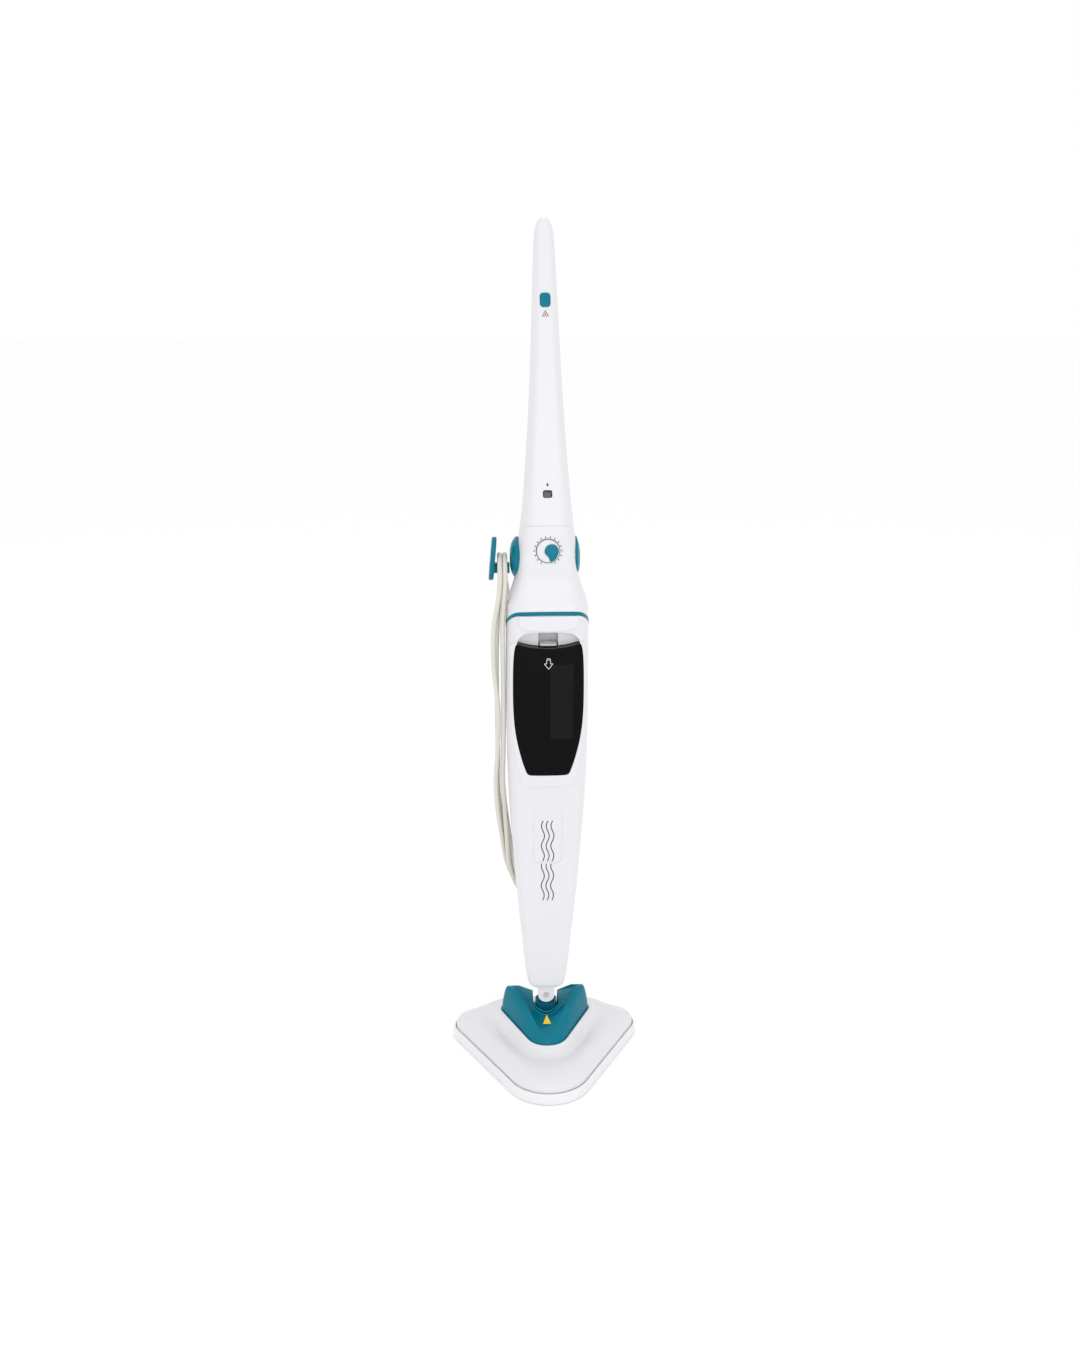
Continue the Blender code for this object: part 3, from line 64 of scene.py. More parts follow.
# ---------------------------------------------------------------- camera
cam_data = bpy.data.cameras.new("camera")
cam_data.lens = 37.65
cam_data.sensor_width = 36.0
cam = bpy.data.objects.new("camera", cam_data)
scene.collection.objects.link(cam)
cam.location = (1.9 * math.sin(math.radians(-2.56)) - 0.009, -1.9 * math.cos(math.radians(-2.56)) + 0.0205, 1.216)
cam.rotation_euler = (math.radians(90 - 17.82), 0.0, math.radians(-2.56))
scene.camera = cam

COLL = bpy.data.collections.new("looks")
scene.collection.children.link(COLL)

# ---------------------------------------------------------------- dimensions
GAP = 0.0003            # clearance between pieces that touch
WALL = 0.0025           # moulded shell thickness
Y_SHIFT = 0.0205        # puts the footprint centre on the origin
HEAD_BACK_R = 0.036     # rear corner radius of the floor head
HEAD_FRONT_R = 0.065    # nose radius of the floor head
HEAD_BACK_X = 0.1055
HEAD_BACK_Y = 0.044
HEAD_FRONT_Y = -0.085
PITCH_Z = 0.050         # height of the recline pin
ROLL_Z = 0.101          # height of the side-swing pin
BODY_Z0 = 0.1163
BODY_Z1 = 0.8280
HANDLE_Z1 = 1.2200
SPLIT_Y = 0.006         # parting plane of the body shells
TANK_BACK_Y = -0.012
BAY_BACK_Y = -0.0115
RECESS_Y = -0.0490
SEAM_SLOPE = 0.45       # the joint line between body and handle falls towards the back
SEAM_Z = 0.8272         # its height at the front
BAND_SLOPE = 0.60       # the accent band falls towards the back too
KNOB_Z = 0.794
KNOB_R = 0.0152
BUTTON_Z = 1.116
CORD_D = 0.0068
CAP_CENTRE_Z = 0.7755    # centre of the round side caps
ARM_Z = 0.7615          # centre of the upper hook arm
HANK_R = 0.0082

# height, half width, front y, back y, half width of the flat front panel
BODY = [
    (0.1163, 0.0205, -0.0180, 0.0180, 0.0150),
    (0.1210, 0.0262, -0.0222, 0.0222, 0.0205),
    (0.1350, 0.0296, -0.0252, 0.0248, 0.0245),
    (0.2000, 0.0365, -0.0318, 0.0308, 0.0305),
    (0.2530, 0.0418, -0.0362, 0.0342, 0.0345),
    (0.3200, 0.0474, -0.0418, 0.0375, 0.0380),
    (0.3800, 0.0515, -0.0466, 0.0400, 0.0405),
    (0.4300, 0.0546, -0.0512, 0.0420, 0.0420),
    (0.5000, 0.0568, -0.0565, 0.0440, 0.0430),
    (0.5700, 0.0576, -0.0595, 0.0455, 0.0435),
    (0.6500, 0.0573, -0.0598, 0.0460, 0.0430),
    (0.7000, 0.0567, -0.0588, 0.0460, 0.0415),
    (0.7140, 0.0562, -0.0580, 0.0458, 0.0405),
    (0.7280, 0.0520, -0.0522, 0.0455, 0.0370),
    (0.7460, 0.0458, -0.0462, 0.0448, 0.0325),
    (0.7600, 0.0430, -0.0446, 0.0441, 0.0292),
    (0.7680, 0.0418, -0.0451, 0.0438, 0.0284),
    (0.8000, 0.0392, -0.0419, 0.0420, 0.0258),
    (0.8280, 0.0362, -0.0391, 0.0400, 0.0226),
]
# height, centre y, half depth, half width, half width of the flat front face
HANDLE = [
    (0.7850, -0.0002, 0.0428, 0.0402, 0.0268),
    (0.8000, 0.0000, 0.04195, 0.0392, 0.0258),
    (0.8283, 0.0005, 0.0393, 0.0360, 0.0225),
    (0.8500, 0.0030, 0.0350, 0.0335, 0.0222),
    (0.8700, 0.0060, 0.0315, 0.0316, 0.0215),
    (0.9200, 0.0145, 0.0262, 0.0276, 0.0185),
    (0.9800, 0.0275, 0.0222, 0.0236, 0.0150),
    (1.0400, 0.0435, 0.0198, 0.0204, 0.0120),
    (1.0800, 0.0555, 0.0188, 0.0188, 0.0100),
    (1.1200, 0.0680, 0.0180, 0.0172, 0.0090),
    (1.1600, 0.0807, 0.0172, 0.0155, 0.0083),
    (1.1900, 0.0902, 0.0160, 0.0141, 0.0078),
    (1.2050, 0.0950, 0.0140, 0.0124, 0.0068),
    (1.2140, 0.0978, 0.0108, 0.0096, 0.0052),
    (1.2200, 0.0996, 0.0060, 0.0052, 0.0028),
]
# half outline of the tank front, bottom centre to top centre
TANK = [(0.0, 0.4755), (0.0200, 0.4757), (0.0268, 0.4764), (0.0296, 0.4790), (0.0325, 0.4870), (0.0362, 0.4985),
        (0.0413, 0.5190), (0.0447, 0.5370), (0.0470, 0.5560), (0.0482, 0.5800), (0.0484, 0.6050), (0.0480, 0.6350),
        (0.0467, 0.6560), (0.0446, 0.6672), (0.0415, 0.6686), (0.0300, 0.6652), (0.0180, 0.6630), (0.0, 0.6620)]
# half outline of the raised surround below and beside the tank
BEZEL = [(0.0, 0.4583), (0.0300, 0.4590), (0.0345, 0.4608), (0.0378, 0.4655), (0.0412, 0.4800), (0.0465, 0.5040), (0.0505, 0.5320),
         (0.0524, 0.5600), (0.0532, 0.6000), (0.0529, 0.6400), (0.0520, 0.6740), (0.0, 0.6740)]
# half outline of the grip bar over the finger recess
BAR = [(0.0, 0.6880), (0.0200, 0.6890), (0.0340, 0.6912), (0.0385, 0.6935), (0.0400, 0.6970), (0.0400, 0.7060), (0.0, 0.7060)]


# ---------------------------------------------------------------- mesh helpers
def finish(bm, name):
    bmesh.ops.recalc_face_normals(bm, faces=bm.faces)
    me = bpy.data.meshes.new(name)
    bm.to_mesh(me)
    bm.free()
    ob = bpy.data.objects.new(name, me)
    COLL.objects.link(ob)
    return ob


def loft(name, rings, ring_closed=False):
    """Skin a stack of closed rings, capped at both ends or joined into a loop."""
    bm = bmesh.new()
    vs = [[bm.verts.new(p) for p in ring] for ring in rings]
    n = len(rings[0])
    m = len(rings)
    for i in range(m if ring_closed else m - 1):
        a = vs[i]
        b = vs[(i + 1) % m]
        for j in range(n):
            bm.faces.new((a[j], a[(j + 1) % n], b[(j + 1) % n], b[j]))
    if not ring_closed:
        bm.faces.new(list(reversed(vs[0])))
        bm.faces.new(vs[-1])
    return finish(bm, name)


def prism(name, pts, lo, hi, axis="Z"):
    """Extrude a flat outline along an axis."""
    bm = bmesh.new()
    if axis == "Z":
        vs = [bm.verts.new((p[0], p[1], lo)) for p in pts]
        move = Vector((0, 0, hi - lo))
    elif axis == "Y":
        vs = [bm.verts.new((p[0], lo, p[1])) for p in pts]
        move = Vector((0, hi - lo, 0))
    else:
        vs = [bm.verts.new((lo, p[0], p[1])) for p in pts]
        move = Vector((hi - lo, 0, 0))
    f = bm.faces.new(vs)
    r = bmesh.ops.extrude_face_region(bm, geom=[f])
    bmesh.ops.translate(bm, vec=move, verts=[g for g in r["geom"] if isinstance(g, bmesh.types.BMVert)])
    return finish(bm, name)


def box(name, x0, x1, y0, y1, z0, z1):
    bm = bmesh.new()
    bmesh.ops.create_cube(bm, size=1.0)
    bmesh.ops.scale(bm, vec=(x1 - x0, y1 - y0, z1 - z0), verts=bm.verts)
    bmesh.ops.translate(bm, vec=((x0 + x1) / 2, (y0 + y1) / 2, (z0 + z1) / 2), verts=bm.verts)
    return finish(bm, name)


def along(direction):
    d = Vector(direction).normalized()
    return Vector((0, 0, 1)).rotation_difference(d).to_matrix().to_4x4()


def turned(name, profile, centre, direction=(0, 0, 1), steps=24):
    """Turn a radius/height profile about an axis with the Screw modifier."""
    bm = bmesh.new()
    pts = list(profile)
    if pts[0][1] < pts[-1][1]:
        pts = list(reversed(pts))
    vs = [bm.verts.new((max(r, 0.0), 0.0, h)) for r, h in pts]
    for a, b in zip(vs, vs[1:]):
        bm.edges.new((a, b))
    me = bpy.data.meshes.new(name)
    bm.to_mesh(me)
    bm.free()
    ob = bpy.data.objects.new(name, me)
    COLL.objects.link(ob)
    s = ob.modifiers.new("turn", "SCREW")
    s.axis = "Z"
    s.angle = 2 * math.pi
    s.steps = steps
    s.render_steps = steps
    s.use_merge_vertices = True
    s.merge_threshold = 0.00005
    bake(ob, True)
    ob.data.transform(Matrix.Translation(Vector(centre)) @ along(direction))
    return ob


def bake(ob, orient=False):
    dg = bpy.context.evaluated_depsgraph_get()
    dg.update()
    me = bpy.data.meshes.new_from_object(ob.evaluated_get(dg))
    ob.modifiers.clear()
    old = ob.data
    ob.data = me
    me.name = ob.name
    bm = bmesh.new()
    bm.from_mesh(me)
    bmesh.ops.remove_doubles(bm, verts=bm.verts, dist=0.00001)
    bmesh.ops.dissolve_degenerate(bm, edges=bm.edges, dist=0.00001)
    if orient:
        bmesh.ops.recalc_face_normals(bm, faces=bm.faces)
    bm.to_mesh(me)
    bm.free()
    if isinstance(old, bpy.types.Mesh):
        bpy.data.meshes.remove(old)
    return ob


def combine(ob, other, how):
    m = ob.modifiers.new("b", "BOOLEAN")
    m.operation = how
    m.solver = "EXACT"
    m.object = other
    bake(ob)
    bpy.data.objects.remove(other, do_unlink=True)
    return ob


def cut(ob, other):
    return combine(ob, other, "DIFFERENCE")


def add(ob, other):
    return combine(ob, other, "UNION")


def keep(ob, other):
    return combine(ob, other, "INTERSECT")


def bevel(ob, width, segments=2, angle=40.0):
    m = ob.modifiers.new("edge", "BEVEL")
    m.width = width
    m.segments = segments
    m.limit_method = "ANGLE"
    m.angle_limit = math.radians(angle)
    m.use_clamp_overlap = True
    return bake(ob)


def tube(name, pts, radius, resolution=2, cyclic=False):
    cu = bpy.data.curves.new(name, "CURVE")
    cu.dimensions = "3D"
    sp = cu.splines.new("POLY")
    sp.points.add(len(pts) - 1)
    for p, q in zip(sp.points, pts):
        p.co = (q[0], q[1], q[2], 1.0)
    sp.use_cyclic_u = cyclic
    cu.bevel_depth = radius
    cu.bevel_resolution = resolution
    cu.use_fill_caps = not cyclic
    ob = bpy.data.objects.new(name, cu)
    COLL.objects.link(ob)
    dg = bpy.context.evaluated_depsgraph_get()
    dg.update()
    me = bpy.data.meshes.new_from_object(ob.evaluated_get(dg))
    bpy.data.objects.remove(ob, do_unlink=True)
    bm = bmesh.new()
    bm.from_mesh(me)
    bmesh.ops.remove_doubles(bm, verts=bm.verts, dist=0.00001)
    bpy.data.meshes.remove(me)
    return finish(bm, name)


# ---------------------------------------------------------------- curves
def pchip(xs, ys, x):
    n = len(xs)
    if x <= xs[0]:
        return ys[0]
    if x >= xs[-1]:
        return ys[-1]
    h = [xs[i + 1] - xs[i] for i in range(n - 1)]
    d = [(ys[i + 1] - ys[i]) / h[i] for i in range(n - 1)]
    m = [d[0]]
    for i in range(1, n - 1):
        if d[i - 1] * d[i] <= 0:
            m.append(0.0)
        else:
            w1 = 2 * h[i] + h[i - 1]
            w2 = h[i] + 2 * h[i - 1]
            m.append((w1 + w2) / (w1 / d[i - 1] + w2 / d[i]))
    m.append(d[-1])
    k = 0
    while x > xs[k + 1]:
        k += 1
    t = (x - xs[k]) / h[k]
    return ((2 * t ** 3 - 3 * t * t + 1) * ys[k] + (t ** 3 - 2 * t * t + t) * h[k] * m[k]
            + (-2 * t ** 3 + 3 * t * t) * ys[k + 1] + (t ** 3 - t * t) * h[k] * m[k + 1])


def table(rows, z):
    xs = [r[0] for r in rows]
    return [pchip(xs, [r[i] for r in rows], z) for i in range(1, len(rows[0]))]




def soften(ring, times):
    """Round the corners of an even ring a little."""
    for _ in range(times):
        n = len(ring)
        ring = [ring[i - 1] * 0.25 + ring[i] * 0.5 + ring[(i + 1) % n] * 0.25 for i in range(n)]
    return ring


def even_ring(corners, counts):
    """Resample each named stretch of a ring to its own count, so that stacked rings line up."""
    out = []
    for pts, m in zip(corners, counts):
        acc = [0.0]
        for a, b in zip(pts, pts[1:]):
            acc.append(acc[-1] + (b - a).length)
        k = 0
        for i in range(m):
            s = acc[-1] * i / m
            while k < len(acc) - 2 and acc[k + 1] < s:
                k += 1
            out.append(pts[k].lerp(pts[k + 1], (s - acc[k]) / max(acc[k + 1] - acc[k], 1e-12)))
    return out


def body_ring(z, off=0.0, fine=True):
    """Section of the body: a slightly crowned front panel, soft side facets and a round back."""
    a, yf, yb, fw = table(BODY, z)
    a += off
    yf -= off
    yb += off
    fw = max(fw + 0.5 * off, 0.004)
    ys = yf + 0.36 * (yb - yf)
    crown = 0.0010
    p = 1.65
    q = 2.5
    m = 24 if fine else 5
    front = [Vector((fw * u / 10.0, yf + crown * (u / 10.0) ** 2, z)) for u in range(-10, 11)]
    right = []
    for i in range(m + 1):
        t = 0.5 * math.pi * i / m
        right.append(Vector((fw + (a - fw) * math.sin(t) ** (2 / p), ys + (yf + crown - ys) * max(math.cos(t), 0.0) ** (2 / p), z)))
    rear = []
    for i in range(4 * m + 1):
        t = math.pi * i / (4 * m)
        c = math.cos(t)
        rear.append(Vector((a * math.copysign(abs(c) ** (2 / q), c), ys + (yb - ys) * abs(math.sin(t)) ** (2 / q), z)))
    left = [Vector((-v.x, v.y, v.z)) for v in reversed(right)]
    if not fine:
        return even_ring([front, right, rear, left], [4, 4, 12, 4])
    return soften(even_ring([front, right, rear, left], [18, 14, 44, 14]), 2)


def body_loft(name, off=0.0, z0=BODY_Z0, z1=BODY_Z1, n=28, stations=None):
    if n > 26:
        m = max(2, int(round((z1 - z0) / 0.0055)))
        zs = [z0 + (z1 - z0) * i / m for i in range(m + 1)]
        for s in (0.1185, 0.1210, 0.1240, 0.7685):
            if z0 + 0.001 < s < z1 - 0.001:
                zs.append(s)
        zs = sorted(zs)
        zs = [z for i, z in enumerate(zs) if i == 0 or z - zs[i - 1] > 0.0006]
        return loft(name, [body_ring(z, off, True) for z in zs])
    zs = stations or [r[0] for r in BODY]
    zs = [z0] + [z for z in zs if z0 + 0.002 < z < z1 - 0.002] + [z1]
    return loft(name, [body_ring(z, off, False) for z in zs])


def handle_ring(z, off=0.0, fine=True):
    """Section of the handle. Low down it has the section of the body, higher up a plain oval with a flat face."""
    yc, hd, hw, fw = table(HANDLE, z)
    hd += off
    hw += off
    fw = max(fw + off * 0.4, 0.0015)
    w = min(max((z - 0.810) / 0.090, 0.0), 1.0)
    side_y = yc - (0.28 - 0.06 * w) * hd
    yf = yc - hd
    crown = 0.0010 * (1.0 - w)
    front = [Vector((-fw + 2 * fw * i / 8, yf + crown * (i / 4.0 - 1.0) ** 2, z)) for i in range(9)]
    ye = yf + crown
    right = []
    for i in range(13):
        t = i / 12
        bow = math.sin(math.pi * t) * 0.09 * (hw - fw)
        a = Vector((fw + (hw - fw) * t + bow, ye + (side_y - ye) * t, z))
        k = 0.5 * math.pi * t
        b = Vector((fw + (hw - fw) * math.sin(k) ** 1.212, side_y + (ye - side_y) * max(math.cos(k), 0.0) ** 1.212, z))
        right.append(b.lerp(a, w))
    rear = []
    for i in range(61):
        t = -0.16 + (math.pi + 0.32) * i / 60
        x = hw * math.cos(t) / math.cos(0.16) if abs(math.cos(t)) > math.cos(0.16) else hw * math.cos(t)
        a = Vector((x, side_y + (yc + hd - side_y) * max(math.sin(t), 0.0), z))
        t = math.pi * i / 60
        c = math.cos(t)
        b = Vector((hw * math.copysign(abs(c) ** 0.8, c), side_y + (yc + hd - side_y) * max(math.sin(t), 0.0) ** 0.8, z))
        rear.append(b.lerp(a, w))
    left = [Vector((-v.x, v.y, v.z)) for v in reversed(right)]
    if not fine:
        return even_ring([front, right, rear, left], [4, 4, 14, 4])
    return soften(even_ring([front, right, rear, left], [14, 12, 44, 12]), 2)


def handle_solid(name, off=0.0, z0=None, z1=None, fine=True):
    z0 = HANDLE[0][0] if z0 is None else z0
    z1 = HANDLE[-1][0] if z1 is None else z1
    step = 0.005 if fine else 0.03
    m = max(2, int(round((z1 - z0) / step)))
    zs = [z0 + (z1 - z0) * i / m for i in range(m + 1)]
    if fine:
        zs += [1.2075, 1.2100, 1.2125, 1.2165, 1.2180, 1.2190]
        zs = sorted(zs)
        zs = [z for i, z in enumerate(zs) if i == 0 or z - zs[i - 1] > 0.0004]
    return loft(name, [handle_ring(z, off, fine) for z in zs])


def slant(name, z_front, slope, up, y_front=-0.0391):
    """Everything above (or below) a plane that falls towards the back."""
    a = z_front - slope * (-0.2 - y_front)
    b = z_front - slope * (0.2 - y_front)
    far = 1.6 if up else -0.4
    return prism(name, [(-0.2, a), (0.2, b), (0.2, far), (-0.2, far)], -0.3, 0.3, "X")


def slant_slab(name, z_mid, half, slope, y_front):
    a = z_mid - slope * (-0.09 - y_front)
    b = z_mid - slope * (0.05 - y_front)
    return prism(name, [(-0.09, a - half), (0.05, b - half), (0.05, b + half), (-0.09, a + half)], -0.2, 0.2, "X")


def smooth_rings(rings, k, closed=False):
    """Catmull-Rom between stacked rings, k steps for each span."""
    n = len(rings)
    out = []
    for i in range(n if closed else n - 1):
        r1, r2 = rings[i], rings[(i + 1) % n]
        r0 = rings[i - 1] if (closed or i > 0) else r1
        r3 = rings[(i + 2) % n] if (closed or i + 2 < n) else r2
        for j in range(k):
            t = j / k
            ring = []
            for p0, p1, p2, p3 in zip(r0, r1, r2, r3):
                # centripetal weights keep close rings from overshooting
                d0 = max((p1 - p0).length, 1e-7) ** 0.5
                d1 = max((p2 - p1).length, 1e-7) ** 0.5
                d2 = max((p3 - p2).length, 1e-7) ** 0.5
                m1 = ((p1 - p0) / d0 - (p2 - p0) / (d0 + d1) + (p2 - p1) / d1) * d1
                m2 = ((p2 - p1) / d1 - (p3 - p1) / (d1 + d2) + (p3 - p2) / d2) * d1
                if not closed and i == 0:
                    m1 = p2 - p1
                if not closed and i + 2 >= n:
                    m2 = p2 - p1
                t2, t3 = t * t, t * t * t
                ring.append((2 * t3 - 3 * t2 + 1) * p1 + (t3 - 2 * t2 + t) * m1 + (-2 * t3 + 3 * t2) * p2 + (t3 - t2) * m2)
            out.append(ring)
    if not closed:
        out.append(list(rings[-1]))
    return out


def hull_outline(circles, off=0.0, per=30, straight=9):
    """Outline of a belt round three circles, moved inwards by off. Counter-clockwise from the rear right."""
    (bx, by, br), (fx, fy, fr) = circles
    br = max(br - off, 0.0005)
    fr = max(fr - off, 0.0005)
    dx = bx - fx
    dy = by - fy
    length = math.hypot(dx, dy)
    base = math.atan2(dy, dx)
    tilt = math.acos(max(-1.0, min(1.0, (fr - br) / length)))
    ang = base - tilt              # outward normal of the right flank
    pts = []
    for i in range(per + 1):       # rear right corner
        t = ang + (math.pi / 2 - ang) * i / per
        pts.append((bx + br * math.cos(t), by + br * math.sin(t)))
    for i in range(1, straight + 1):
        x = bx - 2 * bx * i / (straight + 1)
        pts.append((x, by + br))
    for i in range(per + 1):       # rear left corner
        t = math.pi / 2 + (math.pi / 2 - ang) * i / per
        pts.append((-bx + br * math.cos(t), by + br * math.sin(t)))
    a0 = math.pi - ang
    p0 = (-bx + br * math.cos(a0), by + br * math.sin(a0))
    p1 = (fx + fr * math.cos(a0), fy + fr * math.sin(a0))
    for i in range(1, straight + 1):
        t = i / (straight + 1)
        pts.append((p0[0] + (p1[0] - p0[0]) * t, p0[1] + (p1[1] - p0[1]) * t))
    a1 = 2 * math.pi + ang
    for i in range(per + 1):       # nose
        t = a0 + (a1 - a0) * i / per
        pts.append((fx + fr * math.cos(t), fy + fr * math.sin(t)))
    q0 = (fx + fr * math.cos(ang), fy + fr * math.sin(ang))
    q1 = (bx + br * math.cos(ang), by + br * math.sin(ang))
    for i in range(1, straight + 1):
        t = i / (straight + 1)
        pts.append((q0[0] + (q1[0] - q0[0]) * t, q0[1] + (q1[1] - q0[1]) * t))
    return pts


HEAD = ((HEAD_BACK_X, HEAD_BACK_Y, HEAD_BACK_R), (0.0, HEAD_FRONT_Y, HEAD_FRONT_R))
YOKE = ((0.0500, 0.0290, 0.0160), (0.0, -0.0310, 0.0315))


def mirror_outline(half):
    right = [(x, z) for x, z in half]
    left = [(-x, z) for x, z in reversed(half) if x > 0]
    return right + left


def offset_outline(pts, d):
    """Move a counter-clockwise outline outwards by d."""
    n = len(pts)
    out = []
    for i in range(n):
        p0 = Vector(pts[i - 1])
        p1 = Vector(pts[i])
        p2 = Vector(pts[(i + 1) % n])
        a = (p1 - p0).normalized()
        b = (p2 - p1).normalized()
        na = Vector((a.y, -a.x))
        nb = Vector((b.y, -b.x))
        k = na + nb
        k = k / max(k.length_squared / 2, 0.6)
        out.append((p1.x + k.x * d, p1.y + k.y * d))
    return out


def rounded_rect(cx, cy, w, h, r, per=8):
    pts = []
    for sx, sy, a0 in ((1, -1, -90), (1, 1, 0), (-1, 1, 90), (-1, -1, 180)):
        for i in range(per + 1):
            t = math.radians(a0 + 90 * i / per)
            pts.append((cx + sx * (w / 2 - r) + r * math.cos(t), cy + sy * (h / 2 - r) + r * math.sin(t)))
    return pts


def smooth_path(pts, count, cyclic=False):
    """Catmull-Rom through the route points, resampled at even steps."""
    n = len(pts)
    v = [Vector(p) for p in pts]
    dense = []
    segs = n if cyclic else n - 1
    for i in range(segs):
        p1 = v[i]
        p2 = v[(i + 1) % n]
        p0 = v[(i - 1) % n] if (cyclic or i > 0) else p1 + (p1 - p2)
        p3 = v[(i + 2) % n] if (cyclic or i + 2 < n) else p2 + (p2 - p1)
        for k in range(16):
            t = k / 16
            dense.append(0.5 * ((2 * p1) + (p2 - p0) * t + (2 * p0 - 5 * p1 + 4 * p2 - p3) * t * t
                                + (3 * p1 - p0 - 3 * p2 + p3) * t ** 3))
    dense.append(v[0].copy() if cyclic else v[-1].copy())
    acc = [0.0]
    for a, b in zip(dense, dense[1:]):
        acc.append(acc[-1] + (b - a).length)
    total = acc[-1]
    out = []
    m = count if cyclic else count - 1
    k = 0
    for i in range(count):
        s = total * i / m
        while k < len(acc) - 2 and acc[k + 1] < s:
            k += 1
        t = (s - acc[k]) / max(acc[k + 1] - acc[k], 1e-9)
        out.append(dense[k].lerp(dense[k + 1], t))
    return out


# ---------------------------------------------------------------- materials
MATS = {}


def shader(name):
    m = bpy.data.materials.new(name)
    m.use_nodes = True
    b = m.node_tree.nodes["Principled BSDF"]
    MATS[name] = m
    return m, m.node_tree, b


def link_noise(nt, scale, detail=3.0, rough=0.5, stretch=None):
    tc = nt.nodes.new("ShaderNodeTexCoord")
    n = nt.nodes.new("ShaderNodeTexNoise")
    n.inputs["Scale"].default_value = scale
    n.inputs["Detail"].default_value = detail
    n.inputs["Roughness"].default_value = rough
    if stretch:
        mp = nt.nodes.new("ShaderNodeMapping")
        mp.inputs["Scale"].default_value = stretch
        nt.links.new(tc.outputs["Object"], mp.inputs["Vector"])
        nt.links.new(mp.outputs["Vector"], n.inputs["Vector"])
    else:
        nt.links.new(tc.outputs["Object"], n.inputs["Vector"])
    return n


def ramp(nt, src, stops):
    r = nt.nodes.new("ShaderNodeValToRGB")
    r.color_ramp.elements[0].position = stops[0][0]
    r.color_ramp.elements[0].color = (*stops[0][1], 1.0)
    r.color_ramp.elements[1].position = stops[-1][0]
    r.color_ramp.elements[1].color = (*stops[-1][1], 1.0)
    for p, c in stops[1:-1]:
        e = r.color_ramp.elements.new(p)
        e.color = (*c, 1.0)
    nt.links.new(src, r.inputs["Fac"])
    return r


def ranged(nt, src, lo, hi):
    r = nt.nodes.new("ShaderNodeMapRange")
    r.inputs["From Min"].default_value = 0.3
    r.inputs["From Max"].default_value = 0.7
    r.inputs["To Min"].default_value = lo
    r.inputs["To Max"].default_value = hi
    nt.links.new(src, r.inputs["Value"])
    return r


def bumped(nt, b, src, strength, distance):
    k = nt.nodes.new("ShaderNodeBump")
    k.inputs["Strength"].default_value = strength
    k.inputs["Distance"].default_value = distance
    nt.links.new(src, k.inputs["Height"])
    nt.links.new(k.outputs["Normal"], b.inputs["Normal"])
    return k


def moulded(name, rgb, rough, grain=0.06, grain_scale=1500.0, tone=0.03, metal=0.0, coat=0.0, coat_rough=0.1, transmission=0.0, ior=1.46, sss=0.0, spec=0.5):
    """Injection-moulded plastic or metal: slow flow-line tone, uneven polish and a fine tool grain."""
    m, nt, b = shader(name)
    slow = link_noise(nt, 9.0, 2.0, 0.5, (1.0, 1.0, 0.35))
    fine = link_noise(nt, grain_scale, 2.0)
    col = ramp(nt, slow.outputs["Fac"], [(0.3, tuple(c * (1 - tone) for c in rgb)), (0.7, rgb)])
    nt.links.new(col.outputs["Color"], b.inputs["Base Color"])
    wipe = link_noise(nt, 14.0, 2.0, 0.5)
    nt.links.new(ranged(nt, wipe.outputs["Fac"], max(rough - 0.02, 0.02), rough + 0.03).outputs["Result"], b.inputs["Roughness"])
    bumped(nt, b, fine.outputs["Fac"], grain, 0.0001)
    b.inputs["Metallic"].default_value = metal
    b.inputs["Coat Weight"].default_value = coat
    b.inputs["Coat Roughness"].default_value = coat_rough
    b.inputs["Transmission Weight"].default_value = transmission
    b.inputs["IOR"].default_value = ior
    b.inputs["Specular IOR Level"].default_value = spec
    if sss:
        b.inputs["Subsurface Weight"].default_value = sss
        b.inputs["Subsurface Radius"].default_value = (0.004, 0.004, 0.004)
        b.inputs["Subsurface Scale"].default_value = 0.5
    m.diffuse_color = (*rgb, 1.0)
    return m


WHITE = moulded("white_abs", (0.735, 0.735, 0.764), 0.34, 0.05, 1400.0, 0.01, coat=0.15, coat_rough=0.22)
WHITE_SATIN = moulded("white_satin_abs", (0.725, 0.725, 0.752), 0.42, 0.10, 1100.0, 0.02)
TEAL = moulded("teal_abs", (0.0012, 0.176, 0.250), 0.30, 0.05, 1300.0, 0.08, coat=0.06, coat_rough=0.15, spec=0.14)
TEAL_DEEP = moulded("teal_deep_abs", (0.0012, 0.105, 0.165), 0.34, 0.06, 1300.0, 0.10, coat=0.05, coat_rough=0.16, spec=0.14)
FROST = moulded("frosted_pp", (0.87, 0.872, 0.890), 0.36, 0.10, 700.0, 0.02, transmission=0.08, ior=1.49)
STEEL = moulded("zinc_steel", (0.60, 0.60, 0.61), 0.30, 0.12, 900.0, 0.12, metal=1.0)
BRASS = moulded("nickel_brass", (0.66, 0.60, 0.50), 0.24, 0.08, 900.0, 0.10, metal=1.0)
ALU = moulded("cast_alu", (0.60, 0.61, 0.62), 0.45, 0.30, 500.0, 0.12, metal=1.0)
BLACK = moulded("black_nylon", (0.018, 0.018, 0.020), 0.42, 0.12, 900.0, 0.2)
RUBBER = moulded("grip_rubber", (0.030, 0.030, 0.032), 0.70, 0.35, 600.0, 0.2)
GREY = moulded("grey_pom", (0.30, 0.31, 0.33), 0.40, 0.10, 900.0, 0.08)
CORD = moulded("cord_pvc", (0.70, 0.685, 0.615), 0.46, 0.10, 700.0, 0.07)
CORD_GREY = moulded("relief_pvc", (0.62, 0.61, 0.57), 0.50, 0.12, 700.0, 0.06)
SILICONE = moulded("silicone", (0.62, 0.60, 0.56), 0.46, 0.10, 500.0, 0.06)
PCB = moulded("board", (0.02, 0.16, 0.07), 0.38, 0.10, 400.0, 0.25)
LENS = moulded("lens_acrylic", (0.004, 0.004, 0.005), 0.06, 0.01, 500.0, 0.1, coat=0.6, coat_rough=0.03)
